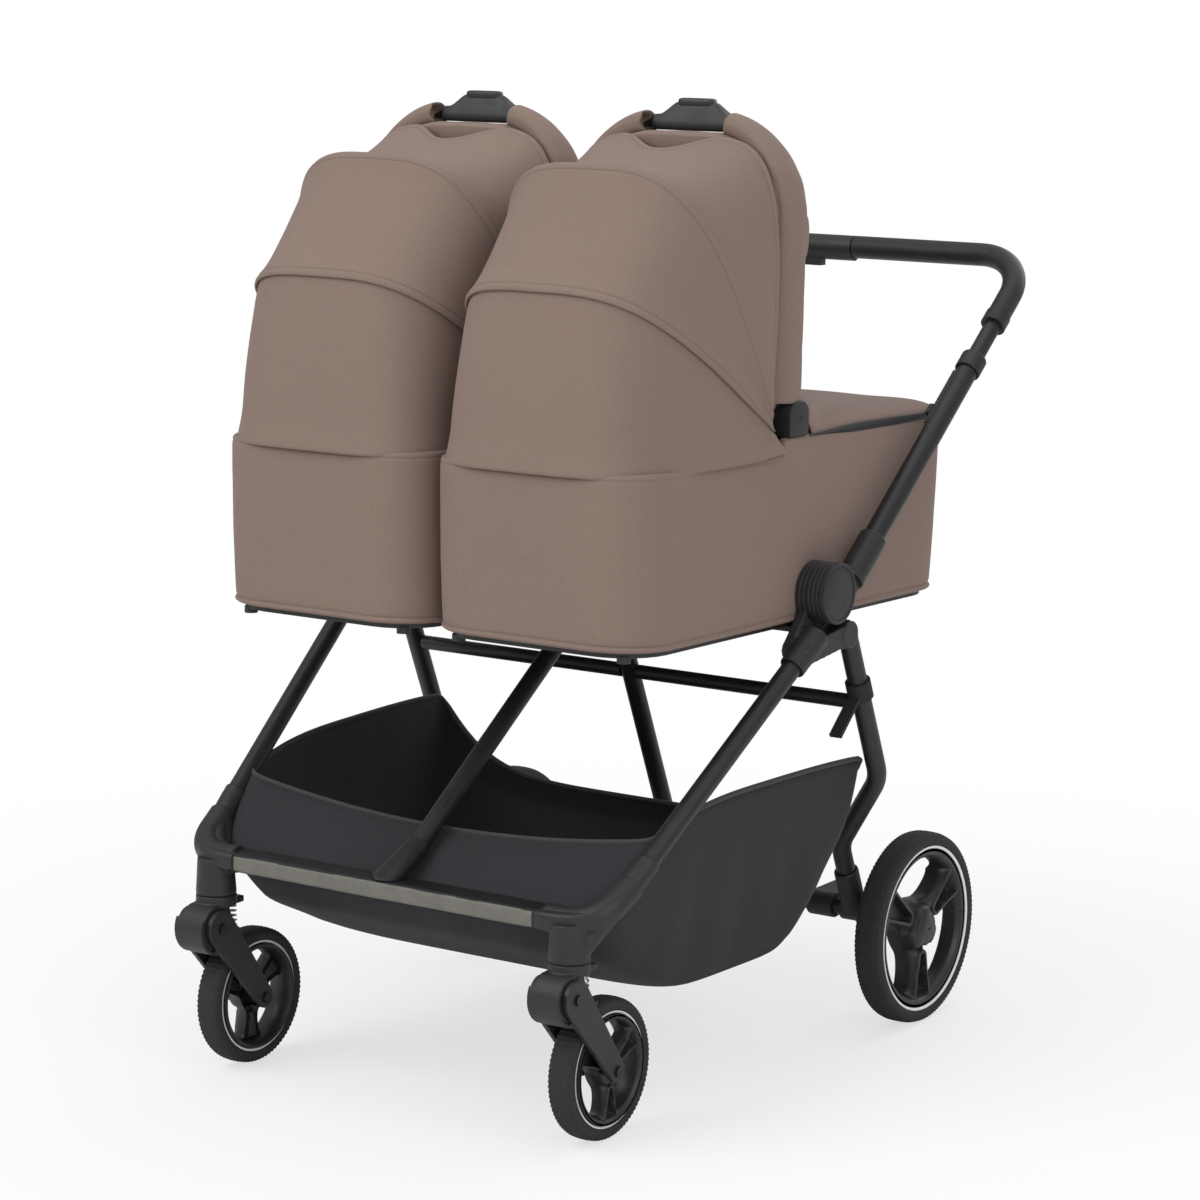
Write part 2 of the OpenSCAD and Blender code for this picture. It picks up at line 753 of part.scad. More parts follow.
arm_w = 14;
stub_over = 6;
bracket_top_share = 0.86;
module axle_brackets() {
    outer = rear_foot_x + bracket_w / 2;
    top = rear_point(bracket_top_share, rear_foot_x);
    seat = rear_point(bend_shares[2], rear_foot_x);
    stub_end = (rear_track + rear_hub_w) / 2 + gap;
    color("#252526") placed() both() difference() {
        union() {
            rod(top, [rear_foot_x, rear_tube_y, rear_tube_z], bracket_d);
            x_rod(rear_foot_x - bracket_w / 2, outer, rear_tube_y, rear_tube_z, bracket_d);
            link(outer - arm_w, outer, [rear_tube_y, rear_tube_z], bracket_d, [wheelbase, rear_axle_z], toe_d);
            x_rod(outer - arm_w, stub_end, wheelbase, rear_axle_z, stub_d);
            x_rod(stub_end, stub_end + head_t, wheelbase, rear_axle_z, rear_hub_d - over);
            x_rod(outer - over, (rear_track - rear_hub_w) / 2 - gap, wheelbase, rear_axle_z, toe_d);
        }
        rod(top - over * rear_dir, seat, leg_d + 2 * gap);
    }
}

brake_x = 222;
brake_w = 40;
brake_d = 36;
brake_tip = [690, 176];
brake_tip_d = 16;
module brake_pedal() {
    color("#1f1f20") placed() difference() {
        union() {
            x_rod(brake_x, brake_x + brake_w, rear_tube_y, rear_tube_z, brake_d);
            link(brake_x, brake_x + brake_w, [rear_tube_y, rear_tube_z], brake_d - over, brake_tip, brake_tip_d);
        }
        x_rod(0, rear_track, rear_tube_y, rear_tube_z, rear_tube_d + 2 * gap);
    }
}

// Rubber strap that holds the folded frame, clipped round the right rear leg
strap_share = 0.165;
clip_d = 35;
clip_l = 26;
strap_w = 18;
strap_t = 5;
strap_l = 82;
strap_lean = 42;
module lock_strap() {
    p = rear_point(strap_share, rear_leg_x);
    color("#2a2a2b") placed() difference() {
        union() {
            rod(p, p + clip_l * rear_dir, clip_d);
            translate(p + clip_l / 2 * rear_dir) rotate([strap_lean, 0, 0])
                translate([-strap_w / 2, -strap_l, -strap_t / 2]) cube([strap_w, strap_l, strap_t]);
        }
        rod(p - clip_l * rear_dir, p + 2 * clip_l * rear_dir, leg_d + 2 * gap);
    }
}

// Cots: local frame at the middle of the cot, level with the hub, on the cot's bottom
cot_front = -414;
cot_back = cot_front + cot_l;
front_flare = 9;
back_flare = 18;
corner_front = 80;
corner_back = 70;
corner_steps = 6;
rim_low = 20;
rim_from = -90;
rim_to = -76;
floor_t = 16;
base_inset = 12;
base_t = 6;
foot_d = 18;
foot_h = 7;
foot_in_x = 43;
foot_in_y = 18;

module at_cot(s) {
    placed() translate([s * cot_pitch / 2, cot_y, cot_z]) rotate([-cot_tilt, 0, 0]) children();
}

// A plan outline with rounded corners, from y0 to y1, half as wide as w
function plan(w, y0, y1, r0, r1) = [for (q = [[1, 1, r1], [-1, 1, r1], [-1, -1, r0], [1, -1, r0]])
    for (k = [0 : corner_steps]) let (
        turn = q[0] * q[1] > 0 ? k : corner_steps - k,
        a = 90 * turn / corner_steps,
        cx = q[0] * (w / 2 - q[2]), cy = q[1] > 0 ? y1 - q[2] : y0 + q[2])
    [cx + q[0] * q[2] * cos(a), cy + q[1] * q[2] * sin(a)]];

function rim_height(y) = let (t = max(0, min(1, (y - rim_from) / (rim_to - rim_from)))) cot_h - rim_low * (1 - t);

// A ring of the cot at a share of its height, drawn in by inset
function cot_ring(share, inset) = [for (p = plan(cot_w - 2 * inset,
    cot_front + inset - front_flare * share, cot_back - inset + back_flare * share,
    corner_front - inset / 2, corner_back - inset / 2)) [p[0], p[1], share]];
function raised(ring, z) = [for (p = ring) [p[0], p[1], z]];
function rimmed(ring, drop) = [for (p = ring) [p[0], p[1], rim_height(p[1]) - drop]];

hem = 5;
module cot_body(s) {
    color("#8a7b73") at_cot(s) loft([
        raised(cot_ring(0, hem), 0),
        raised(cot_ring(0, 0), hem),
        rimmed(cot_ring(1, 0), hem),
        rimmed(cot_ring(1, hem), 0),
        rimmed(cot_ring(1, cot_wall), 0),
        raised(cot_ring(0, cot_wall), floor_t)
    ]);
}

module cot_base(s) {
    color("#242425") at_cot(s) {
        translate([0, 0, -base_t - gap]) linear_extrude(height = base_t)
            polygon(plan(cot_w - 2 * base_inset, cot_front + base_inset, cot_back - base_inset,
                corner_front - base_inset, corner_back - base_inset));
        for (x = [-1, 1]) for (y = [cot_front + foot_in_y + base_inset, cot_back - foot_in_y - base_inset])
            translate([x * (cot_w / 2 - foot_in_x), y, -base_t - gap - foot_h]) cylinder(d = foot_d, h = foot_h + over);
    }
}

// A cushion: flat below, drawn in at the sides and crowned on top
cushion_shares = [[0.9, 0], [0.985, 0.1], [1, 0.34], [0.985, 0.6], [0.9, 0.84], [0.66, 0.96], [0.3, 1]];
function about(ring, c, share) = [for (p = ring) [c[0] + (p[0] - c[0]) * share, c[1] + (p[1] - c[1]) * share]];

mattress_inset = 20;
module mattress(s) {
    ring = plan(cot_w - 2 * mattress_inset, cot_front + mattress_inset, cot_back - mattress_inset,
        corner_front - mattress_inset, corner_back - mattress_inset);
    mid = [0, (cot_front + cot_back) / 2];
    color("#d9d6d0") at_cot(s) loft([for (q = cushion_shares)
        raised(about(ring, mid, q[0]), floor_t + gap + mattress_h * q[1])]);
}

// Apron over the foot end: higher near the hood
apron_shares = [[0.97, 0], [1, 0.1], [1, 0.3], [0.975, 0.55], [0.88, 0.8], [0.62, 0.95], [0.3, 1]];
apron_from = -12;
apron_front_h = 32;
apron_back_h = 15;
function apron_height(y) = apron_front_h + (apron_back_h - apron_front_h) * (y - apron_from) / (cot_back - apron_from);
module apron(s) {
    ring = plan(cot_w - 2 * gap, apron_from, cot_back + back_flare - gap, corner_back / 3, corner_back);
    mid = [0, (apron_from + cot_back) / 2];
    color("#8a7b73") at_cot(s) loft([for (q = apron_shares)
        [for (p = about(ring, mid, q[0])) [p[0], p[1], cot_h + gap + apron_height(p[1]) * q[1]]]]);
}

// Hood hinge: blocks on the cot's rim, with the carry handle's flat ends between their cheeks
hinge_y = -49;
hinge_z = 272;
block_d = 46;
block_w = 27;
block_in = 25;
slot_w = 12;
eye2_d = 20;
hinge_pin_d = 8;
block_x0 = cot_w / 2 - block_in;
slot_x = block_x0 + (block_w - slot_w) / 2;
module hinge_blocks(s) {
    color("#262627") at_cot(s) both() {
        difference() {
            union() {
                x_rod(block_x0, block_x0 + block_w, hinge_y, hinge_z, block_d);
                translate([block_x0, hinge_y - block_d / 2, cot_h + gap]) cube([block_w, block_d, hinge_z - cot_h]);
            }
            translate([slot_x, hinge_y - block_d, hinge_z - eye2_d / 2 - slack])
                cube([slot_w, 2 * block_d, block_d]);
        }
        x_rod(block_x0, block_x0 + block_w, hinge_y, hinge_z, hinge_pin_d);
    }
}

// Hood: bows from the seam over two ridges to the sleeve, each a rounded arch across the cot
// Each bow: side foot (y, z), crown (y, z), half width, roundness
hood_t = 4;
bow_feet = [[-92, 235], [-112, 262], [-116, 284], [-107, 296]];
bow_crowns = [[-427, 229], [-405, 451], [-288, 602], [-94, hood_h]];
bow_spread = [2, 1, 2, -1];
bow_halves = [for (q = bow_spread) cot_w / 2 + q];
bow_rounds = [4.6, 3.5, 3.5, 4.8];
bow_steps = 4;
arch_steps = 24;
tiny_share = 0.000001;
puff_shares = [0.012, -0.012, -0.05];

function bow_mix(list, t) = let (i = min(len(list) - 2, floor(t)), f = t - i) list[i] * (1 - f) + list[i + 1] * f;
function power(v, e) = sign(v) * pow(abs(v), e);
function bow_puff(t) = 1 + puff_shares[min(2, floor(t))] * sin(180 * (t - floor(t)));

// A point of the hood: t runs over the bows, a over the arch from 0 to 180, inset towards the inside
function hood_point(t, a, inset) = let (
    foot = bow_mix(bow_feet, t), crown = bow_mix(bow_crowns, t),
    e = bow_mix(bow_rounds, t),
    w = bow_mix(bow_halves, t) - inset,
    rise = crown - foot,
    c = abs(cos(a)) < tiny_share ? 0 : cos(a), v = abs(sin(a)) < tiny_share ? 0 : sin(a),
    k = pow(pow(abs(c), e) + pow(v, e), -1 / e),
    up = k * v * (bow_puff(t) - inset / norm(rise)))
    [w * k * c, foot[0] + rise[0] * up, foot[1] + rise[1] * up];

function hood_grid(inset) = [for (i = [0 : 3 * bow_steps])
    [for (j = [0 : arch_steps]) hood_point(i / bow_steps, 180 * j / arch_steps, inset)]];

module hood(s) {
    color("#8a7b73") at_cot(s) sheet(hood_grid(0), hood_grid(hood_t));
}

// Carry handle: a bow under the sleeve with the bare grip on top
bow_d = 12;
bow_x = slot_x + slot_w / 2;
bow_bend = 118;
bow_lean = [0, 14, 0];
bow_low = [bow_x, hinge_y, hinge_z];
bow_high = [bow_x, hinge_y, grip_z - bow_d] + bow_lean / 2;
hand_l = 132;
hand_w = 30;
hand_h = 24;
hand_top_share = 0.44;
hand_rise = 13;
module carry_handle(s) {
    color("#242425") at_cot(s) difference() {
        union() {
            bent_tube([bow_low, bow_high, across(bow_high), across(bow_low)], bow_bend, bow_d);
            both() x_rod(slot_x + gap, slot_x + slot_w - gap, hinge_y, hinge_z, eye2_d);
            translate([0, bow_high[1], bow_high[2]]) {
                rounded_bar(hand_l, hand_w, hand_h, hand_h / 3);
                hull() {
                    cube([hand_l * 2 * hand_top_share, hand_w - over, hand_h - over], center = true);
                    translate([-hand_l * hand_top_share / 2, -hand_w / 4, 0])
                        cube([hand_l * hand_top_share, hand_w / 2, hand_h / 2 + hand_rise]);
                }
            }
        }
        both() x_rod(0, cot_w, hinge_y, hinge_z, hinge_pin_d + slack);
        translate([-button2_l / 2 - gap, bow_high[1] - button2_w / 2 - gap, bow_high[2] + button2_low - button2_travel])
            cube([button2_l + 2 * gap, button2_w + 2 * gap, hand_h + hand_rise]);
    }
}

button2_l = 40;
button2_w = 11;
button2_low = 14;
button2_travel = 4;
button2_proud = 3;
module grip_button(s) {
    top = hand_h / 2 + hand_rise + button2_proud;
    color("#3a3a3c") at_cot(s)
        translate([-button2_l / 2, bow_high[1] - button2_w / 2, bow_high[2] + button2_low + gap])
            cube([button2_l, button2_w, top - button2_low]);
}

// Padded sleeve on both sides of the grip, following the carry handle's bow
sleeve_t = 25;
sleeve_steps = 14;
sleeve_sides = 12;
sleeve_low = block_d / 2 + over;
sleeve_end = hand_l / 2 + over;
sleeve_shift = -16;
bow_leg = bow_high - bow_low;
leg_len = norm(bow_leg) - bow_bend;
arc_len = bow_bend * PI / 2;
sleeve_len = leg_len + arc_len + bow_x - bow_bend - sleeve_end;

// Point and inward direction of the bow at a length from the hinge
function bow_at(l) = let (u = bow_leg / norm(bow_leg), a = (l - leg_len) / bow_bend * 180 / PI)
    l < leg_len ? [bow_low + l * u, u]
    : l < leg_len + arc_len ? [bow_low + leg_len * u + bow_bend * (sin(a) * u - (1 - cos(a)) * [1, 0, 0]),
        cos(a) * u - sin(a) * [1, 0, 0]]
    : [bow_high - [bow_bend + l - leg_len - arc_len, 0, 0], [-1, 0, 0]];

function sleeve_ring(i) = let (
    l = sleeve_low + (sleeve_len - sleeve_low) * i / sleeve_steps,
    q = bow_at(l), side = unit(cross(q[1], [0, 1, 0])), along = cross(side, q[1]),
    f = 1 - pow(2 * i / sleeve_steps - 1, 8) / 4)
    [for (k = [0 : sleeve_sides - 1]) let (a = 360 * k / sleeve_sides)
        q[0] + [0, sleeve_shift, 0] + f * sleeve_w / 2 * power(cos(a), 0.7) * along
            - f * sleeve_t / 2 * power(sin(a), 0.7) * side];

module handle_sleeve(s) {
    rings = [for (i = [0 : sleeve_steps]) sleeve_ring(i)];
    color("#8a7b73") at_cot(s) both() loft(rings);
}

// Adaptors and the middle bracket that the cots stand on
shelf_l = 52;
shelf_x = hub_inner_x - shelf_l;
shelf_t = 7;
plate_l = 92;
plate_h = 40;
inner_pad_w = 34;
pad_gap = 18;
centre_w = 96;
centre_t = 9;
cheek_t = 8;
shelf_top = -base_t - 2 * gap;

module at_shelf() {
    placed() translate([0, cot_y, cot_z]) rotate([-cot_tilt, 0, 0]) children();
}

module cot_adaptors() {
    side = (cot_pitch + cot_w) / 2 + slack;
    color("#1e1e1f") at_shelf() both() {
        translate([shelf_x, -plate_l / 2, shelf_top - shelf_t]) cube([hub_inner_x - shelf_x, plate_l, shelf_t]);
        translate([side, -plate_l / 2, shelf_top - shelf_t]) cube([hub_inner_x - side, plate_l, plate_h]);
        translate([pad_gap, -plate_l / 2, shelf_top - shelf_t]) cube([inner_pad_w, centre_l, shelf_t]);
    }
}

centre_l = 38;
centre_eye_d = 22;
neck_l = 40;
neck_d = 33;
module centre_hub() {
    u = unit(strut_high - foot_top);
    end = strut_high + (neck_l / 2) * u;
    color("#2a2a2b") placed() difference() {
        union() {
            translate([0, cot_y, cot_z]) rotate([-cot_tilt, 0, 0])
                translate([-centre_w / 2, -plate_l / 2, shelf_top - shelf_t - centre_t])
                    cube([centre_w, centre_l, centre_t]);
            both() hull() {
                x_rod(eye_t + gap, eye_t + gap + cheek_t, knuckle2_y, knuckle2_z, centre_eye_d, $fn = 32);
                x_rod(eye_t + gap, eye_t + gap + cheek_t, end[1], end[2] - centre_t, centre_t, $fn = 32);
            }
            x_rod(-eye_t - cheek_t, eye_t + cheek_t, knuckle2_y, knuckle2_z, pin_d);
            rod(strut_high - neck_l * u, end, neck_d);
        }
        rod(strut_high - 2 * neck_l * u, strut_high, strut_d + 2 * gap);
    }
}

// Basket: a cloth trough hung between the legs
basket_sides = 48;
rear_rim_power = 5;
// Rings from the rim down: distance inside the front and rear legs, y in front and behind, heights at the
// front corners, sides and rear corners, sag of the front and rear edges, squareness of the corners
basket_rings = [
    [15, 17, 52, 533, basket_top - 25, basket_top + 6, basket_top, 30, 110, 40],
    [35, 40, -34, 546, 300, 292, 300, 0, 36, 14],
    [43, 58, 5, 528, 232, 214, 234, 0, 8, 10],
    [51, 78, 104, 490, 180, 164, 172, 0, 0, 8],
    [65, 96, 165, 456, basket_low + 18, basket_low + 13, basket_low + 13, 0, 0, 6],
    [217, 256, 220, 380, basket_low + 5, basket_low + 3, basket_low, 0, 0, 4]
];

function basket_point(q, a, inset) = let (
    n = q[9],
    k = pow(pow(abs(cos(a)), n) + pow(abs(sin(a)), n), -1 / n),
    vx = k * cos(a), vy = k * sin(a),
    cy = (q[2] + q[3]) / 2, ly = (q[3] - q[2]) / 2 - inset,
    front = leg_low[0] - q[0], back = rear_leg_x - q[1],
    w = (front + back) / 2 + (back - front) / 2 * vy - inset,
    b = pow(abs(vy), 3),
    sag = (vy < 0 ? q[7] * (1 - vx * vx) : q[8] * (1 - pow(abs(vx), rear_rim_power))) * b)
    [w * vx, cy + ly * vy, q[5] * (1 - b) + (vy < 0 ? q[4] : q[6]) * b - sag];
function basket_ring(q, inset, lift) = [for (j = [0 : basket_sides - 1])
    let (p = basket_point(q, 360 * j / basket_sides, inset)) [p[0], p[1], p[2] + lift]];

module basket() {
    last = len(basket_rings) - 1;
    color("#353438") placed() loft(concat(
        [for (i = [last : -1 : 0]) basket_ring(basket_rings[i], 0, 0)],
        [for (i = [0 : last]) basket_ring(basket_rings[i], basket_t, i < 2 ? 0 : basket_t)]));
}

front_legs();
front_corners();
front_bar();
front_bar_pad();
centre_strut_front();
side_hubs();
centre_hub();
cot_adaptors();
basket();
handle_sockets();
hub_caps();
handle_tubes();
handle_collars();
height_rails();
height_buttons();
handlebar();
handle_grips();
release_housing();
fold_trigger();
rear_legs();
rear_crossbar();
centre_strut_rear();
rear_axle_tube();
axle_brackets();
brake_pedal();
lock_strap();
front_tyre(-1);  // front_tyre_left
front_tyre(1);  // front_tyre_right
front_rim(-1);  // front_rim_left
front_rim(1);  // front_rim_right
rear_tyre(-1);  // rear_tyre_left
rear_tyre(1);  // rear_tyre_right
rear_rim(-1);  // rear_rim_left
rear_rim(1);  // rear_rim_right
caster_stem(-1);  // caster_stem_left
caster_stem(1);  // caster_stem_right
caster_fork(-1);  // caster_fork_left
caster_fork(1);  // caster_fork_right
caster_bolts(-1);  // caster_bolts_left
caster_bolts(1);  // caster_bolts_right
caster_spring(-1);  // caster_spring_left
caster_spring(1);  // caster_spring_right
cot_body(-1);  // cot_body_left
cot_body(1);  // cot_body_right
cot_base(-1);  // cot_base_left
cot_base(1);  // cot_base_right
mattress(-1);  // mattress_left
mattress(1);  // mattress_right
apron(-1);  // apron_left
apron(1);  // apron_right
hinge_blocks(-1);  // hinge_blocks_left
hinge_blocks(1);  // hinge_blocks_right
hood(-1);  // hood_left
hood(1);  // hood_right
carry_handle(-1);  // carry_handle_left
carry_handle(1);  // carry_handle_right
grip_button(-1);  // grip_button_left
grip_button(1);  // grip_button_right
handle_sleeve(-1);  // handle_sleeve_left
handle_sleeve(1);  // handle_sleeve_right
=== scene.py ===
"""Twin pram: two hooded carrycots side by side on a folding frame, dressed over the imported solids."""

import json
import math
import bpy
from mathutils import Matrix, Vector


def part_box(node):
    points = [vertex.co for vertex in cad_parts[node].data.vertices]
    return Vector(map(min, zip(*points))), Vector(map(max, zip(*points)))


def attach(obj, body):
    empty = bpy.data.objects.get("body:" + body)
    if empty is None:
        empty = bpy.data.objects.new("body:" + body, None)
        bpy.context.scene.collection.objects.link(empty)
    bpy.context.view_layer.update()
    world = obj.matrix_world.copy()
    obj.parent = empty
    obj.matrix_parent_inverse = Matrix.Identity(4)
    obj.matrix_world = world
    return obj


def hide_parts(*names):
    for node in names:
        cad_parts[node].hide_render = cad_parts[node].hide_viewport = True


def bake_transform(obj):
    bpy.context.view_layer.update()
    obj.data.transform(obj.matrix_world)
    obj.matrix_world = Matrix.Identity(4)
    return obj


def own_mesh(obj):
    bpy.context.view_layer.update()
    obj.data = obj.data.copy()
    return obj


bl_info = {
    "name": "Twin Pram Dressing",
    "version": (1, 0, 0),
    "blender": (4, 5, 0),
    "location": "3D View > Sidebar > Twin Pram",
    "description": "Dresses the packed twin pram with cloth, leather, rubber and painted metal",
    "category": "Object",
}

import bmesh
import bpy
from bpy.props import FloatProperty, FloatVectorProperty, PointerProperty
from mathutils import Matrix, Vector, noise

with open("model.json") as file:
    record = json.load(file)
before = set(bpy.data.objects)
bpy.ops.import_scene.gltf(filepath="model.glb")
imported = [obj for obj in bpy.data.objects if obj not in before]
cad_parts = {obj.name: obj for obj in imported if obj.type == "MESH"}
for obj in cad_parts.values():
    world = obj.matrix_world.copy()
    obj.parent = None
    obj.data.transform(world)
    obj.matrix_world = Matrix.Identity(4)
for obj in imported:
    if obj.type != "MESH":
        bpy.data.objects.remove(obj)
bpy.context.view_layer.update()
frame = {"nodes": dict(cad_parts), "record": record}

MM = 0.001
SIDES = {"left": -1, "right": 1}


def hex_colour(code):
    """An sRGB hex colour as linear red, green, blue and alpha."""
    parts = [int(code[i:i + 2], 16) / 255 for i in (0, 2, 4)]
    return tuple(c / 12.92 if c <= 0.04045 else ((c + 0.055) / 1.055) ** 2.4 for c in parts) + (1.0,)


def colour(name, about, code):
    """A colour property with an sRGB hex default."""
    return FloatVectorProperty(name=name, description=about, subtype="COLOR", size=4, min=0, max=1,
                               default=hex_colour(code))


def length(name, about, size):
    """A length property whose default is given in millimetres."""
    return FloatProperty(name=name, description=about, unit="LENGTH", subtype="DISTANCE", default=size * MM)


def middle(node):
    """The middle of a node's box."""
    low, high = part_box(node)
    return (low + high) / 2


FRONT_AXLE = middle("front_tyre_left")
BODY_OF = {node: body for body, nodes in frame["record"]["behaviour"]["bodies"].items() for node in nodes}


class PramColours(bpy.types.PropertyGroup):
    """Colours of the pram's finishes"""

    taupe: colour("Taupe cloth", "Woven cloth of hoods, cots and aprons", "867369")
    taupe_shade: colour("Taupe shade", "Valleys of the taupe weave", "78675f")
    lining: colour("Lining", "Soft lining inside the cots and hoods", "5d4f48")
    charcoal: colour("Charcoal cloth", "Basket cloth", "343236")
    charcoal_shade: colour("Charcoal shade", "Valleys of the basket weave", "252427")
    tube: colour("Painted tube", "Satin black powder coat", "1e1e1f")
    plastic: colour("Moulded plastic", "Black glass-filled nylon", "222223")
    leather: colour("Grip leather", "Black leatherette of the grips", "1d1d1e")
    # Paler grey of the front bar's front face: a grey leatherette strip, lightened as a painted reflection of the light
    # on that face
    bar_leather: colour("Bar leather", "Grey leatherette strip along the front bar", "716f67")
    rubber: colour("Tyre rubber", "Grey-black tyre rubber", "272726")
    ring: colour("Reflective ring", "Pale ring on the tyres", "f2f4f5")
    steel: colour("Spring steel", "Zinc-plated spring wire", "c9ccd0")
    bolt: colour("Bolt steel", "Blackened bolt heads", "4a4a4c")
    mattress: colour("Mattress cloth", "Quilted mattress cover", "d9d5cd")
    floor: colour("Floor", "Pale studio floor", "f4f2f1")


class PramCotSizes(bpy.types.PropertyGroup):
    """Sizes of the carrycots"""

    pitch: length("Pitch", "Distance between the middles of the two cots", 351)
    width: length("Width", "Width of a cot", 346)
    front: length("Front", "Front of the cot from its middle", -414)
    back: length("Back", "Back of the cot from its middle", 355)
    rim: length("Rim height", "Height of the wall behind the hood", 248)
    rim_drop: length("Rim drop", "How much lower the wall is under the hood", 20)
    wall: length("Wall", "Thickness of the padded wall", 14)
    welt: length("Welt", "How far the bottom welt stands out", 2)
    crown: length("Wall crown", "How far the padded wall stands out at half height", 1.8)
    place_y: length("Place", "Distance of the cots' middle behind the front axle", 418)
    place_z: length("Height", "Height of the cots' bottom", 621)
    tilt: FloatProperty(name="Tilt", description="Slope of the cots towards the handle", subtype="ANGLE",
                        default=math.radians(1.5))


class PramHoodSizes(bpy.types.PropertyGroup):
    """Sizes of the hoods and their handle sleeves"""

    ridge: length("Ridge", "Height of the lapped ridge seams", 4.6)
    cloth: length("Cloth", "Thickness of the hood's cloth", 2.2)
    notch: length("Hand hole", "Depth of the hole under the grip", 40)
    wrinkle: length("Wrinkles", "Height of the soft wrinkles", 1.3)
    sleeve_width: length("Sleeve width", "Width of the padded handle sleeve", 59)
    sleeve_pad: length("Sleeve pad", "Thickness of the padded handle sleeve", 27)
    visor: length("Visor", "How far the folded visor stands out behind the sleeve", 50)


class PramBasketSizes(bpy.types.PropertyGroup):
    """Sizes of the basket and the front bar's pad"""

    cloth: length("Cloth", "Thickness of the basket's cloth", 2.0)
    piping: length("Piping", "Diameter of the rim's piping", 7)
    fold: length("Folds", "Height of the soft folds", 3)
    bar: length("Bar pad length", "Length of the front bar's pad", 507)


class PramWheelSizes(bpy.types.PropertyGroup):
    """Sizes of the tyres' tread and rings"""

    tread: length("Tread", "Depth of the tread's grooves", 2.4)
    ring: length("Ring", "Width of the reflective ring", 7)


# Materials

# At a scale of 1 the bands of a Wave texture lie this far apart, in metres
BAND = 0.314


def add(tree, kind, settings=None, links=None, to=None, output=0):
    """Adds one node, sets its values, links its inputs and leads an output to another node's socket."""
    node = tree.nodes.new(kind)
    for key, value in (settings or {}).items():
        if isinstance(key, str) and hasattr(node, key):
            setattr(node, key, value)
        else:
            node.inputs[key].default_value = value
    for key, source in (links or {}).items():
        tree.links.new(source, node.inputs[key])
    if to is not None:
        tree.links.new(node.outputs[output], to)
    return node


def surface(name, settings):
    """A new material with its node tree, its shader, and the links to the coordinates that its patterns read."""
    mat = bpy.data.materials.new(name)
    mat.use_nodes = True
    tree = mat.node_tree
    tree.nodes.clear()
    shader = add(tree, "ShaderNodeBsdfPrincipled", settings)
    add(tree, "ShaderNodeOutputMaterial", None, {"Surface": shader.outputs["BSDF"]})
    place = add(tree, "ShaderNodeTexCoord")
    return mat, tree, shader, {kind: {"Vector": place.outputs[kind]} for kind in ("Object", "UV")}


def shade(base, factor):
    """A colour made paler or darker."""
    return tuple(min(1, c * factor) for c in base[:3]) + (1.0,)


def woven_cloth(name, light, dark, thread, bump=0.35, sheen=0.2, along="UV"):
    """Woven polyester: matt threads crossing over and under, with a faint bloom at grazing angles."""
    mat, tree, shader, place = surface(name, {"Roughness": 0.86, "Specular IOR Level": 0.25, "IOR": 1.5,
                                              "Sheen Weight": sheen, "Sheen Roughness": 0.45})
    # The real threads are about 0.4 mm apart; they are drawn coarser so that they show close up
    warp, weft = [add(tree, "ShaderNodeTexWave", {"bands_direction": way, "Scale": BAND / thread, "Distortion": 0.5},
                      place[along]) for way in "XY"]
    weave = add(tree, "ShaderNodeMath", {"operation": "MULTIPLY"},
                {0: warp.outputs["Fac"], 1: weft.outputs["Fac"]})
    # Slubs a few millimetres long, and a broad unevenness of the dye
    slub = add(tree, "ShaderNodeTexNoise", {"Scale": 1 / 0.004, "Detail": 4.0, "Roughness": 0.6}, place["Object"])
    dye = add(tree, "ShaderNodeTexNoise", {"Scale": 1 / 0.16, "Detail": 2.0}, place["Object"])
    grain = add(tree, "ShaderNodeMath", {"operation": "MULTIPLY_ADD", 1: 0.35},
                {0: weave.outputs[0], 2: slub.outputs["Fac"]})
    share = add(tree, "ShaderNodeMath", {"operation": "MULTIPLY_ADD", 1: 0.35, "use_clamp": True},
                {0: dye.outputs["Fac"], 2: grain.outputs[0]})
    add(tree, "ShaderNodeMix", {"data_type": "RGBA", 6: dark, 7: light}, {0: share.outputs[0]},
        shader.inputs["Base Color"], 2)
    add(tree, "ShaderNodeBump", {"Strength": bump, "Distance": thread * 0.35}, {"Height": grain.outputs[0]},
        shader.inputs["Normal"])
    return mat


def powder_coat(name, base, rough=0.42, grit=0.0009):
    """Powder-coated aluminium tube: satin paint with a fine orange peel and softly varying gloss."""
    mat, tree, shader, place = surface(name, {"IOR": 1.5, "Specular IOR Level": 0.45})
    peel = add(tree, "ShaderNodeTexNoise", {"Scale": 1 / grit, "Detail": 2.0}, place["Object"])
    scuff = add(tree, "ShaderNodeTexNoise", {"Scale": 1 / 0.05, "Detail": 5.0, "Roughness": 0.65}, place["Object"])
    add(tree, "ShaderNodeMapRange", {"From Min": 0.3, "From Max": 0.7, "To Min": rough - 0.05, "To Max": rough + 0.08},
        {"Value": scuff.outputs["Fac"]}, shader.inputs["Roughness"])
    add(tree, "ShaderNodeMix", {"data_type": "RGBA", 6: base, 7: shade(base, 1.35)}, {0: scuff.outputs["Fac"]},
        shader.inputs["Base Color"], 2)
    add(tree, "ShaderNodeBump", {"Strength": 0.12, "Distance": grit * 0.4}, {"Height": peel.outputs["Fac"]},
        shader.inputs["Normal"])
    return mat


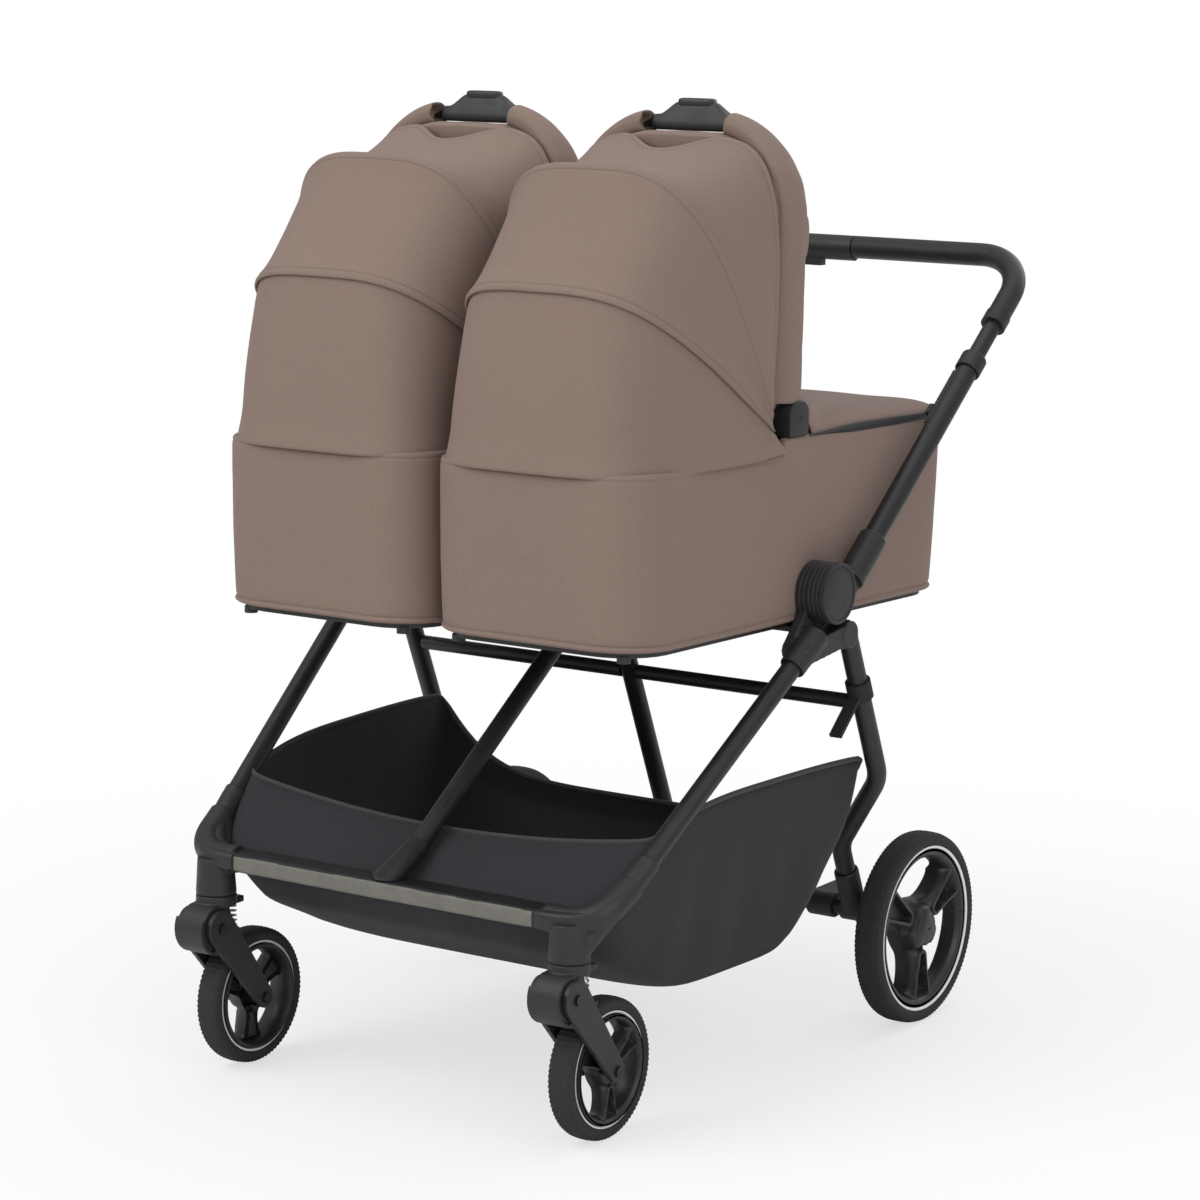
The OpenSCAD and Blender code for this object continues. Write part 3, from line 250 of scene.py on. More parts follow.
def moulded_plastic(name, base, rough=0.5, grit=0.0012):
    """Injection-moulded nylon: spark-eroded grain, a little paler where hands and dust wear it."""
    mat, tree, shader, place = surface(name, {"IOR": 1.53, "Specular IOR Level": 0.42})
    grain = add(tree, "ShaderNodeTexVoronoi", {"Scale": 1 / grit, "Randomness": 1.0}, place["Object"])
    wear = add(tree, "ShaderNodeTexNoise", {"Scale": 1 / 0.03, "Detail": 6.0, "Roughness": 0.6}, place["Object"])
    add(tree, "ShaderNodeMapRange", {"From Min": 0.3, "From Max": 0.7, "To Min": rough - 0.06, "To Max": rough + 0.07},
        {"Value": wear.outputs["Fac"]}, shader.inputs["Roughness"])
    add(tree, "ShaderNodeMix", {"data_type": "RGBA", 6: base, 7: shade(base, 1.3)}, {0: wear.outputs["Fac"]},
        shader.inputs["Base Color"], 2)
    add(tree, "ShaderNodeBump", {"Strength": 0.15, "Distance": grit * 0.3}, {"Height": grain.outputs["Distance"]},
        shader.inputs["Normal"])
    return mat


def leatherette(name, base, grain_size=0.0022, rough=0.5, bump=0.4):
    """Coated leatherette: pebbled grain with darker creases and a low sheen."""
    mat, tree, shader, place = surface(name, {"IOR": 1.5, "Specular IOR Level": 0.4, "Roughness": rough})
    pebble = add(tree, "ShaderNodeTexVoronoi", {"feature": "DISTANCE_TO_EDGE", "Scale": 1 / grain_size},
                 place["Object"])
    crease = add(tree, "ShaderNodeMapRange", {"From Min": 0.0, "From Max": 0.16, "To Min": 0.0, "To Max": 1.0},
                 {"Value": pebble.outputs["Distance"]})
    cloud = add(tree, "ShaderNodeTexNoise", {"Scale": 1 / 0.02, "Detail": 4.0}, place["Object"])
    share = add(tree, "ShaderNodeMath", {"operation": "MULTIPLY_ADD", 1: 0.5, "use_clamp": True},
                {0: crease.outputs[0], 2: cloud.outputs["Fac"]})
    add(tree, "ShaderNodeMix", {"data_type": "RGBA", 6: shade(base, 0.62), 7: base}, {0: share.outputs[0]},
        shader.inputs["Base Color"], 2)
    add(tree, "ShaderNodeBump", {"Strength": bump, "Distance": grain_size * 0.25}, {"Height": crease.outputs[0]},
        shader.inputs["Normal"])
    return mat


def tyre_rubber(name, base):
    """Foam-filled tyre rubber: matt, with dust in the grain."""
    mat, tree, shader, place = surface(name, {"Roughness": 0.74, "Specular IOR Level": 0.3, "IOR": 1.5})
    dust = add(tree, "ShaderNodeTexNoise", {"Scale": 1 / 0.012, "Detail": 7.0, "Roughness": 0.7}, place["Object"])
    add(tree, "ShaderNodeMix", {"data_type": "RGBA", 6: base, 7: shade(base, 1.7)}, {0: dust.outputs["Fac"]},
        shader.inputs["Base Color"], 2)
    # Crossed ribs 3.6 mm apart, coarser than the real knurl so that they show
    knurl = add(tree, "ShaderNodeMath", {"operation": "MULTIPLY"})
    for k, angle in enumerate((math.pi / 4, -math.pi / 4)):
        slant = add(tree, "ShaderNodeVectorRotate", {"Angle": angle}, place["UV"])
        ribs = add(tree, "ShaderNodeTexWave", {"Scale": BAND / 0.0036}, {"Vector": slant.outputs[0]})
        tree.links.new(ribs.outputs["Fac"], knurl.inputs[k])
    add(tree, "ShaderNodeBump", {"Strength": 0.5, "Distance": 0.0009}, {"Height": knurl.outputs[0]},
        shader.inputs["Normal"])
    return mat


def plated_steel(name, base, rough=0.3):
    """Plated steel: bright metal with fine drawn streaks."""
    mat, tree, shader, place = surface(name, {"Metallic": 1.0})
    streak = add(tree, "ShaderNodeTexNoise", {"Scale": 1 / 0.0015, "Detail": 3.0}, place["Object"])
    add(tree, "ShaderNodeMapRange", {"To Min": rough - 0.08, "To Max": rough + 0.12},
        {"Value": streak.outputs["Fac"]}, shader.inputs["Roughness"])
    add(tree, "ShaderNodeMix", {"data_type": "RGBA", 6: shade(base, 0.75), 7: base}, {0: streak.outputs["Fac"]},
        shader.inputs["Base Color"], 2)
    return mat


def reflective_film(name, base):
    """Reflective film let into the tyre: pale beads behind a clear skin."""
    mat, tree, shader, place = surface(name, {"Roughness": 0.4, "Coat Weight": 0.3, "Coat Roughness": 0.15})
    bead = add(tree, "ShaderNodeTexVoronoi", {"Scale": 1 / 0.0012}, place["Object"])
    add(tree, "ShaderNodeMix", {"data_type": "RGBA", 6: base, 7: shade(base, 0.82)}, {0: bead.outputs["Distance"]},
        shader.inputs["Base Color"], 2)
    return mat


def zip_tape(name, base):
    """Coil zip on woven tape: a row of fine teeth along the middle of the band."""
    mat, tree, shader, place = surface(name, {"Roughness": 0.6, "Specular IOR Level": 0.4})
    # Teeth 2.5 mm apart
    teeth = add(tree, "ShaderNodeTexWave", {"bands_direction": "X", "Scale": BAND / 0.0025}, place["UV"])
    add(tree, "ShaderNodeMix", {"data_type": "RGBA", 6: shade(base, 0.5), 7: base}, {0: teeth.outputs["Fac"]},
        shader.inputs["Base Color"], 2)
    add(tree, "ShaderNodeBump", {"Strength": 0.6, "Distance": 0.0006}, {"Height": teeth.outputs["Fac"]},
        shader.inputs["Normal"])
    return mat


def finishes():
    """The pram's materials by their short names; each is made once and found again by its name."""
    c = bpy.context.scene.pram_colours
    plastic = tuple(c.plastic)
    sorts = {
        "taupe": (woven_cloth, "Woven polyester taupe", tuple(c.taupe), tuple(c.taupe_shade), 0.0013, 0.22, 0.05),
        "lining": (woven_cloth, "Brushed lining", tuple(c.lining), tuple(c.taupe_shade), 0.003, 0.2, 0.1),
        "charcoal": (woven_cloth, "Oxford basket cloth", tuple(c.charcoal), tuple(c.charcoal_shade), 0.0016, 0.3,
                     0.06),
        "mattress": (woven_cloth, "Cotton mattress cover", tuple(c.mattress), hex_colour("bdb8ae"), 0.0026, 0.3, 0.3,
                     "Object"),
        "piping": (woven_cloth, "Basket piping", hex_colour("48474a"), hex_colour("2b2a2c"), 0.002, 0.4, 0.1),
        "tube": (powder_coat, "Powder-coated aluminium", tuple(c.tube)),
        "plastic": (moulded_plastic, "Moulded nylon", plastic),
        "gloss_plastic": (moulded_plastic, "Moulded rim plastic", plastic, 0.4),
        "leather": (leatherette, "Grip leatherette", tuple(c.leather), 0.0022, 0.38),
        # The front bar's grey strip, with a painted reflection in its paler colour
        "bar_leather": (leatherette, "Bar leatherette", tuple(c.bar_leather), 0.0026, 0.46, 0.25),
        "rubber": (tyre_rubber, "Tyre rubber", tuple(c.rubber)),
        "strap": (tyre_rubber, "Strap rubber", plastic),
        "ring": (reflective_film, "Reflective film", tuple(c.ring)),
        "spring": (plated_steel, "Zinc-plated spring steel", tuple(c.steel)),
        "bolt": (plated_steel, "Blackened bolt steel", tuple(c.bolt), 0.42),
        "zip": (zip_tape, "Zip tape", hex_colour("2c2c2e")),
    }
    return {key: bpy.data.materials.get(name) or make(name, *rest) for key, (make, name, *rest) in sorts.items()}


# Shapes


def at_frame(p):
    """A place in millimetres behind the front axle and above the floor, in the row frame."""
    return Vector((p[0] * MM, p[1] * MM + FRONT_AXLE.y, p[2] * MM))


def at_cot(side, p):
    """A place in a cot's own millimetres, in the row frame."""
    s = bpy.context.scene.pram_cot
    c, t = math.cos(s.tilt), math.sin(s.tilt)
    y, z = p[1] * MM, p[2] * MM
    return Vector((SIDES[side] * s.pitch / 2 + p[0] * MM, s.place_y + y * c + z * t + FRONT_AXLE.y,
                   s.place_z - y * t + z * c))


def grid(columns, rows, place, closed=False):
    """A grid of points that place(column, row) puts; its UV map follows the real lengths, in metres."""
    bm = bmesh.new()
    uv = bm.loops.layers.uv.new("UVMap")
    bmesh.ops.create_grid(bm, x_segments=columns, y_segments=rows, size=1.0, calc_uvs=True)
    spots = {}
    for v in bm.verts:
        mark = (round((v.co.x + 1) / 2 * columns), round((v.co.y + 1) / 2 * rows))
        v.co = spots[mark] = place(*mark)
    across, along = [0.0], [0.0]
    for i in range(columns):
        total = sum((spots[i + 1, j] - spots[i, j]).length for j in range(rows + 1))
        across.append(across[-1] + total / (rows + 1))
    for j in range(rows):
        total = sum((spots[i, j + 1] - spots[i, j]).length for i in range(columns + 1))
        along.append(along[-1] + total / (columns + 1))
    for face in bm.faces:
        for loop in face.loops:
            loop[uv].uv = (across[round(loop[uv].uv.x * columns)], along[round(loop[uv].uv.y * rows)])
    if closed:
        bmesh.ops.remove_doubles(bm, verts=bm.verts, dist=1e-5)
    return bm


def turn_out(bm, inside):
    """Turns an open sheet's faces away from a point inside it."""
    bm.normal_update()
    if sum(f.normal.dot(f.calc_center_median() - inside) * f.calc_area() for f in bm.faces) < 0:
        bmesh.ops.reverse_faces(bm, faces=bm.faces)


def close_up(bm):
    """Closes a shell's open ends and turns its faces outwards."""
    edges = [e for e in bm.edges if e.is_boundary]
    if edges:
        bmesh.ops.holes_fill(bm, edges=edges, sides=0)
    bmesh.ops.recalc_face_normals(bm, faces=bm.faces)


def shell(columns, rows, place):
    """A grid closed round its section and at both ends."""
    bm = grid(columns, rows, place, True)
    close_up(bm)
    return bm


def joined(parts):
    """Several meshes as one."""
    out = bmesh.new()
    for bm in parts:
        mesh = bpy.data.meshes.new("part")
        bm.to_mesh(mesh)
        bm.free()
        out.from_mesh(mesh)
        bpy.data.meshes.remove(mesh)
    return out


def turned(centre, line, steps=96):
    """A shape turned about an axle along X: line gives the distance along the axle and the radius, in metres."""
    bm = bmesh.new()
    verts = [bm.verts.new(centre + Vector((x, 0, r))) for x, r in line]
    edges = [bm.edges.new((a, b)) for a, b in zip(verts, verts[1:])]
    bmesh.ops.spin(bm, geom=verts + edges, cent=centre, axis=(1, 0, 0), angle=2 * math.pi, steps=steps, use_merge=True)
    bmesh.ops.remove_doubles(bm, verts=bm.verts, dist=1e-6)
    bmesh.ops.recalc_face_normals(bm, faces=bm.faces)
    return bm


def even_mesh(obj, voxel, rounds):
    """Gives an object an even mesh of small squares with its edges rounded."""
    shell = obj.modifiers.new("Shell", "REMESH")
    shell.mode = "VOXEL"
    shell.voxel_size = voxel * MM
    soft = obj.modifiers.new("Round", "SMOOTH")
    soft.factor = 0.5
    soft.iterations = rounds
    mesh = bpy.data.meshes.new_from_object(obj.evaluated_get(bpy.context.evaluated_depsgraph_get()))
    old = obj.data
    obj.modifiers.clear()
    obj.data = mesh
    bpy.data.meshes.remove(old)
    mesh.polygons.foreach_set("use_smooth", [True] * len(mesh.polygons))


def swelled(obj, pressure, cap):
    """Swells a padded piece with Blender's cloth under pressure; no point moves further than cap, in millimetres."""
    scene = bpy.context.scene
    rest = [v.co.copy() for v in obj.data.vertices]
    cloth = obj.modifiers.new("Cloth", "CLOTH")
    cloth.point_cache.frame_start = 1
    cloth.point_cache.frame_end = 20
    cloth.settings.quality = 4
    cloth.settings.use_pressure = True
    cloth.settings.uniform_pressure_force = pressure
    cloth.settings.effector_weights.gravity = 0
    for step in range(1, 21):
        scene.frame_set(step)
    swollen = obj.evaluated_get(bpy.context.evaluated_depsgraph_get()).data
    moved = [v.co.copy() for v in swollen.vertices]
    obj.modifiers.remove(cloth)
    scene.frame_set(1)
    for v, a, b in zip(obj.data.vertices, rest, moved):
        v.co = a + (b - a) * (cap * MM / (cap * MM + (b - a).length))
    obj.data.update()


def moulded(node, material, voxel=1.6, rounds=5):
    """A solid of the frame with its edges rounded as its mould leaves them, or as it is if voxel is 0."""
    source = frame["nodes"][node]
    obj = bpy.data.objects.new(node + "_moulding", source.data.copy())
    obj.data.transform(source.matrix_world)
    bpy.context.scene.collection.objects.link(obj)
    if voxel:
        even_mesh(obj, voxel, rounds)
    mesh = obj.data
    mesh.materials.clear()
    mesh.materials.append(material)
    mesh.polygons.foreach_set("use_smooth", [True] * len(mesh.polygons))
    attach(obj, BODY_OF[node])
    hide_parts(node)
    return obj


def smooth_path(points, steps=6, closed=False):
    """A smooth line through points."""
    p = [Vector(q) for q in points]
    n = len(p)
    out = []
    for i in range(n if closed else n - 1):
        a, b, c, d = (p[(i + k) % n] if closed else p[max(0, min(n - 1, i + k))] for k in (-1, 0, 1, 2))
        for k in range(steps):
            t = k / steps
            out.append(0.5 * (2 * b + (c - a) * t + (2 * a - 5 * b + 4 * c - d) * t * t
                              + (3 * b - a - 3 * c + d) * t ** 3))
    if not closed:
        out.append(p[-1])
    return out


def tube(path, radius, sides=12, closed=False, flat=1.0, up=None):
    """A round or flattened tube along a path in metres; radius may change along it."""
    n = len(path)
    rows = n if closed else n - 1
    ways = []
    for j in range(n):
        a = path[(j - 1) % n] if closed or j else path[0]
        b = path[(j + 1) % n] if closed or j < n - 1 else path[-1]
        ways.append((b - a).normalized())
    side = (up or Vector((0, 0, 1))).cross(ways[0])
    side = side.normalized() if side.length > 1e-6 else ways[0].orthogonal().normalized()
    sides_at = []
    for w in ways:
        side = (side - w * side.dot(w)).normalized()
        sides_at.append(side)

    def place(i, j):
        j = j % n
        r = radius(j / max(1, n - 1)) if callable(radius) else radius
        a = 2 * math.pi * i / sides
        across = ways[j].cross(sides_at[j])
        return path[j] + r * (math.cos(a) * sides_at[j] + math.sin(a) * flat * across)

    return shell(sides, rows, place)


def piece(name, bm, material, body, angle=None, inner=None):
    """Makes a mesh a piece of the pram that moves with a body, or with none if no body is given."""
    mesh = bpy.data.meshes.new(name)
    bm.to_mesh(mesh)
    bm.free()
    mesh.polygons.foreach_set("use_smooth", [True] * len(mesh.polygons))
    if angle:
        mesh.set_sharp_from_angle(angle=math.radians(angle))
    mesh.materials.append(material)
    if inner:
        mesh.materials.append(inner)
    obj = bpy.data.objects.new(name, mesh)
    bpy.context.scene.collection.objects.link(obj)
    if body:
        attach(obj, body)
    return obj


def thicken(obj, thickness, lined=False):
    """Gives a sheet its thickness towards the inside."""
    mod = obj.modifiers.new("Thickness", "SOLIDIFY")
    mod.thickness = thickness
    mod.offset = -1
    mod.use_even_offset = False
    mod.material_offset = 1 if lined else 0
    return mod


def keep_apart(obj, side, gap=0.6):
    """Presses a soft piece flat where it would reach over the middle into the other cot."""
    hand = SIDES[side]
    for v in obj.data.vertices:
        v.co.x = hand * max(gap * MM, v.co.x * hand)


def wave(p, size, seed=0.0):
    """A soft unevenness from -1 to 1 for a place in millimetres."""
    return noise.noise(Vector((p[0] / size + seed, p[1] / size, p[2] / size)))


def blend_in(x, low, high):
    """A smooth step from 0 at low to 1 at high."""
    t = max(0.0, min(1.0, (x - low) / (high - low)))
    return t * t * (3 - 2 * t)


# Carrycots


def plan_marks(w, y0, y1, r0, r1, count):
    """Evenly spaced marks round a plan with round corners, as (stretch, share of it)."""
    quarter = math.pi / 2
    spans = [w / 2 - r1, quarter * r1, y1 - y0 - r0 - r1, quarter * r0, w - 2 * r0, quarter * r0,
             y1 - y0 - r0 - r1, quarter * r1, w / 2 - r1]
    total = sum(spans)
    marks = []
    for i in range(count + 1):
        s = total * i / count
        for k, span in enumerate(spans):
            if s <= span + 1e-6 or k == 8:
                marks.append((k, min(1.0, s / span)))
                break
            s -= span
    return marks


def plan_point(mark, w, y0, y1, r0, r1):
    """A point of a plan with round corners, and the way outwards there."""
    k, f = mark
    h = w / 2
    if k in (0, 4, 8):
        x = {0: f * (h - r1), 4: (1 - 2 * f) * (h - r0), 8: (f - 1) * (h - r1)}[k]
        return (x, y0 if k == 4 else y1), (0, -1 if k == 4 else 1)
    if k in (2, 6):
        y = y1 - r1 + (y0 + r0 - y1 + r1) * (f if k == 2 else 1 - f)
        return (h if k == 2 else -h, y), (1 if k == 2 else -1, 0)
    sx, back = {1: (1, True), 3: (1, False), 5: (-1, False), 7: (-1, True)}[k]
    a = math.pi / 2 * {1: 1 - f, 3: f, 5: 1 - f, 7: f}[k]
    r = r1 if back else r0
    way = (sx * math.cos(a), math.sin(a) if back else -math.sin(a))
    return (sx * (h - r) + r * way[0], (y1 - r1 if back else y0 + r0) + r * way[1]), way


# Radii of the cot's front and back corners, and the straight stretch of its wall from the welt to the lower rim
FRONT_CORNER, BACK_CORNER = 80, 70
WALL_FOOT, WALL_TOP, ROLL = 14, 228, 16


def cot_ring(mark, share, inset):
    """A point of the cot's wall at a share of its height."""
    s = bpy.context.scene.pram_cot
    return plan_point(mark, s.width / MM - 2 * inset, s.front / MM + inset - 9 * share,
                      s.back / MM - inset + 18 * share, FRONT_CORNER - inset / 2, BACK_CORNER - inset / 2)[0]


def rim_height(y):
    """Height of the cot's rim along the cot."""
    s = bpy.context.scene.pram_cot
    return s.rim / MM - s.rim_drop / MM * (1 - blend_in(y, -92, -74))


def cot_shell(side):
    """The padded cot: wall with a welt at the bottom, rolled rim, lining and floor."""
    s = bpy.context.scene.pram_cot
    w = s.width / MM
    count = 168
    marks = plan_marks(w, s.front / MM, s.back / MM, FRONT_CORNER, BACK_CORNER, count)
    welt, crown, wall = s.welt / MM, s.crown / MM, s.wall / MM
    # Each row: height from the bottom, or below the rim when negative, and how far in from the outline
    rows = [(0.4, 24), (0.2, 10), (0.8, 4), (2.2, 0.4), (4, -welt * 0.8), (5.5, -welt), (7, -welt * 0.7), (8.6, 0.4),
            (9.6, 1.1), (11, 0.6), (WALL_FOOT, 0)]
    rows += [(WALL_FOOT + (WALL_TOP - WALL_FOOT - ROLL) * k / 14, 0) for k in range(1, 15)]
    rows += [(-12, 0), (-9, 0.3), (-7.6, 1.0), (-6, 0.4), (-4, 0.3), (-2, 1.2), (-0.5, 3.4), (0, 6), (-0.01, 9),
             (-1, 12), (-4, wall - 0.4)]
    inner = [(WALL_TOP - 20 - (WALL_TOP - 44) * k / 7, wall + 3.0 * math.sin(math.pi * k / 7)) for k in range(8)]
    rows += inner + [(18.5, wall + 3), (16.6, wall + 10), (16.3, wall + 40)]
    over = rows.index((0, 6))

    def place(i, j):
        z, inset = rows[j]
        mark = marks[i % count]
        x, y = cot_ring(mark, 0.5, inset)
        rim = rim_height(y)
        if z < 0 or (z == 0 and inset == 6):
            z = rim + z
        elif WALL_FOOT < z and j < over:
            z = WALL_FOOT + (rim - ROLL - WALL_FOOT) * (z - WALL_FOOT) / (WALL_TOP - ROLL - WALL_FOOT)
        share = max(0, min(1, z / rim))
        # The padding stands out between the welt and the rim, with faint pulls in the cloth
        if 8 < j < over - 3:
            swell = crown * math.sin(math.pi * share) ** 0.8
            pull = 0.55 * wave((x, y, z * 0.6), 70, 3) + 0.3 * wave((x, y, z), 28, 7)
            inset -= swell + pull * math.sin(math.pi * share)
        x, y = cot_ring(mark, share, inset)
        return at_cot(side, (x, y, z))

    return shell(count, len(rows) - 1, place)


class PRAM_OT_cots(bpy.types.Operator):
    """Cloth shells of the two carrycots, with a welt, a rolled rim and a lining"""

    bl_idname = "pram.cots"
    bl_label = "Carrycots"

    def execute(self, context):
        mats = finishes()
        for side in SIDES:
            bm = cot_shell(side)
            inside = at_cot(side, (0, -30, 140))
            obj = piece("cot_cover_" + side, bm, mats["taupe"], "cot_" + side, 50, mats["lining"])
            for p in obj.data.polygons:
                p.material_index = 1 if p.normal.dot(inside - p.center) > 0 and p.center.z > inside.z - 0.13 else 0
            keep_apart(obj, side)
            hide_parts("cot_body_" + side)
        return {"FINISHED"}


# The hood's four bows from the hem to the sleeve: place of the feet and of the crown seen from the side, half width,
# squareness of the arch, and how far the cloth between two bows puffs out or draws in
HOOD_FEET = ((-84, 232), (-113, 261), (-117, 284), (-108, 295))
HOOD_CROWNS = ((-427, 229), (-405, 451), (-288, 602), (-94, 639))
HOOD_HALVES = (175, 174, 175, 172)
HOOD_ROUNDS = (4.6, 3.5, 3.5, 4.8)
HOOD_PUFF = (0.012, -0.012, -0.05)
HOOD_INSIDE = Vector((0, -150, 250))


def hood_point(t, angle):
    """A point of the hood in the cot's millimetres: t counts the bows, angle runs over the arch."""
    i = max(0, min(2, int(t)))
    f = t - i
    foot = Vector(HOOD_FEET[i]).lerp(Vector(HOOD_FEET[i + 1]), f)
    rise = Vector(HOOD_CROWNS[i]).lerp(Vector(HOOD_CROWNS[i + 1]), f) - foot
    e = HOOD_ROUNDS[i] + (HOOD_ROUNDS[i + 1] - HOOD_ROUNDS[i]) * f
    w = HOOD_HALVES[i] + (HOOD_HALVES[i + 1] - HOOD_HALVES[i]) * f
    c, s = math.cos(angle), max(0.0, math.sin(angle))
    k = (abs(c) ** e + s ** e) ** (-1 / e)
    up = k * s * (1 + HOOD_PUFF[i] * math.sin(math.pi * f))
    return Vector((w * k * c, foot.x + rise.x * up, foot.y + rise.y * up))


def hood_way(t, angle):
    """The way outwards from the hood's cloth."""
    i = max(0, min(2, int(t)))
    t = max(i + 0.03, min(i + 0.97, t))
    a = max(0.02, min(math.pi - 0.02, angle))
    along = hood_point(t + 0.01, a) - hood_point(t - 0.01, a)
    across = hood_point(t, a + 0.01) - hood_point(t, a - 0.01)
    way = across.cross(along)
    out = hood_point(t, a) - HOOD_INSIDE
    way = way.normalized()
    return way if way.dot(out) > 0 else -way


# Rows of the hood from the hem to the sleeve. A row near a bow: the bow, the distance past it and the height above
# it, which is a share of the ridge. The cloth folds back under each ridge. A row between bows: the panel and a share.
HEM_ROWS = ((0, -5.5, 0.05), (0, -7.4, 0.2), (0, -7.8, 0.5), (0, -7.0, 0.8), (0, -4, 0.86), (0, 2, 0.7), (0, 9, 0.5),
            (0, 16, 0.3), (0, 26, 0.1))
LAP_ROWS = ((-30, 0.1), (-20, 0.3), (-12, 0.6), (-8, 0.82), (-6.8, 0.62), (-5.6, 0.86), (-1.5, 1.0), (1, 0.95),
            (2.6, 0.74), (3.0, 0.42), (2.2, 0.16), (-2.5, 0.02), (-1.5, -0.2), (1.5, -0.26), (5, -0.2), (12, -0.1),
            (26, 0))
EDGE_ROWS = ((3, -20, 0), (3, -10, 0.06), (3, -8.8, -0.14), (3, -7.6, 0.1), (3, -3, 0.2), (3, -0.8, 0.12),
             (3, 0, -0.16))
TUCK_ROWS = (3, 8, 15, 24, 34, 46)


def hood_rows():
    """All rows of the hood in order, as (kind, panel or bow, distance or share, height)."""
    rows = [("near", *r) for r in HEM_ROWS]
    rows += [("share", 0, k / 14, 0) for k in range(1, 14)]
    rows += [("near", 1, -d, h) for d, h in reversed(LAP_ROWS)]
    rows += [("share", 1, k / 12, 0) for k in range(1, 12)]
    rows += [("near", 2, d, h) for d, h in LAP_ROWS]
    rows += [("share", 2, k / 12, 0) for k in range(1, 12)]
    rows += [("near", *r) for r in EDGE_ROWS]
    rows += [("tuck", 3, d, -0.2) for d in TUCK_ROWS]
    return rows


def hood_sheet(side):
    """One continuous sheet over the hood's bows, with a hem, two lapped ridges and a hand hole under the grip."""
    s = bpy.context.scene.pram_hood
    ridge, notch, wrinkle = s.ridge / MM, s.notch / MM, s.wrinkle / MM
    columns = 144
    rows = hood_rows()
    mirror = SIDES[side]

    def place(i, j):
        angle = math.pi * i / columns
        kind, k, d, height = rows[j]
        base = [hood_point(n, angle) for n in range(4)]
        spans = [(base[n + 1] - base[n]).length for n in range(3)]
        tight = [min(1.0, span / 72) for span in spans]
        # The rear edge dips under the grip, where the hand reaches in
        hole = math.cos(math.pi / 2 * min(1.0, abs(base[3].x) / 84)) ** 2 if angle else 0.0
        runs = [spans[0], spans[1], spans[2] - notch * hole]
        if kind == "share":
            lead, tail = (26, 30, 26)[k] * tight[k], (26, 30, 20)[k] * tight[k]
            t = k + (lead + (runs[k] - lead - tail) * d) / spans[k]
            scale = tight[k]
        elif k == 3:
            t = 2 + (runs[2] + (d * tight[2] if kind == "near" else 0)) / spans[2]
            scale = tight[2]
        else:
            panel = max(0, k - 1) if d < 0 else k
            t = k + d * tight[panel] / spans[panel]
            scale = tight[panel]
        t = min(2.9999, t)
        p = hood_point(t, angle)
        way = hood_way(max(0.0, t), angle)
        lift = height * ridge * (0.4 + 0.6 * scale)
        # Soft wrinkles on the panels, and short folds that run out from the hinge
        away = (p - Vector((math.copysign(172, p.x), -112, 275))).length
        spread = math.atan2(p.z - 262, -112 - p.y)
        calm = blend_in(away, 10, 60)
        lift += wrinkle * calm * (0.7 * wave((p.x * mirror, p.y, p.z), 95, 1)
                                  + 0.35 * wave((p.x * mirror, p.y, p.z), 42, 5))
        lift += 1.3 * math.exp(-away / 60) * math.sin(9 * spread + p.x * mirror / 90) * blend_in(away, 8, 34)
        q = p + way * lift
        if kind == "tuck":
            # Beside the sleeve the edge turns inwards; in the hand hole it rolls under
            inward = Vector((-math.copysign(1, p.x) * min(1.0, abs(p.x) / 120), 0.45, -0.4)).normalized()
            q += inward * d * (1 - 0.6 * hole) - way * (d * 0.5 * hole)
        return at_cot(side, q)

    bm = grid(columns, len(rows) - 1, place)
    turn_out(bm, at_cot(side, HOOD_INSIDE))
    return bm


BOW_LOW = Vector((161.5, -49, 272))
BOW_HIGH = Vector((161.5, -42, 653))
BOW_BEND = 118


def bow_at(run):
    """A point of the carry handle's bow and the way along it, at a length above the hinge."""
    leg = BOW_HIGH - BOW_LOW
    u = leg.normalized()
    straight = leg.length - BOW_BEND
    arc = BOW_BEND * math.pi / 2
    if run < straight:
        return BOW_LOW + u * run, u
    if run < straight + arc:
        a = (run - straight) / BOW_BEND
        inward = Vector((-1, 0, 0))
        return (BOW_LOW + u * straight + BOW_BEND * (math.sin(a) * u + (1 - math.cos(a)) * inward),
                math.cos(a) * u + math.sin(a) * inward)
    return BOW_HIGH + Vector((-BOW_BEND - run + straight + arc, 0, 0)), Vector((-1, 0, 0))


BOW_RUN = (BOW_HIGH - BOW_LOW).length - BOW_BEND + BOW_BEND * math.pi / 2 + 161.5 - BOW_BEND - 68


def soft_power(v, e):
    """A signed power that squares off a round section."""
    return math.copysign(abs(v) ** e, v)


def visor_pad(side):
    """The sun visor folded away behind the sleeve: a soft leaf along the bow that shows behind it."""
    s = bpy.context.scene.pram_hood
    around, rows = 28, 96
    ends = BOW_RUN + 68

    def place(i, j):
        f = 2 * j / rows - 1
        run = 60 + (ends - 60) * (1 - abs(f))
        q, u = bow_at(run)
        out = u.cross(Vector((0, 1, 0))).normalized() * -1
        # Widest a little above the middle of the straight leg, and narrow over the top
        leaf = math.exp(-((run - 236) / 48) ** 4)
        tip = max(0.05, 1 - abs(2 * blend_in(run, 60, 90) - 2) ** 3) if run < 90 else 1.0
        front, back = -54.0, -10 + leaf * s.visor / MM + 8 * blend_in(run, 380, 470)
        a = 2 * math.pi * i / around
        half = (back - front) / 2
        y = (front + back) / 2 + half * soft_power(math.cos(a), 0.8)
        thick = 5.5 * tip * soft_power(math.sin(a), 0.8) * (1 + 0.5 * leaf)
        # Over the top it hangs behind the hand hole
        if thick < 0:
            thick *= 1 + 6 * blend_in(run, 400, 480)
        deep = -9 - 8 * blend_in(run, 330, 420)
        p = q + out * (deep + thick + 0.8 * wave((run, y, 5), 30, 8)) + Vector((0, y, 0))
        return at_cot(side, (p.x * (1 if f < 0 else -1), p.y, p.z))

    return shell(around, rows, place)


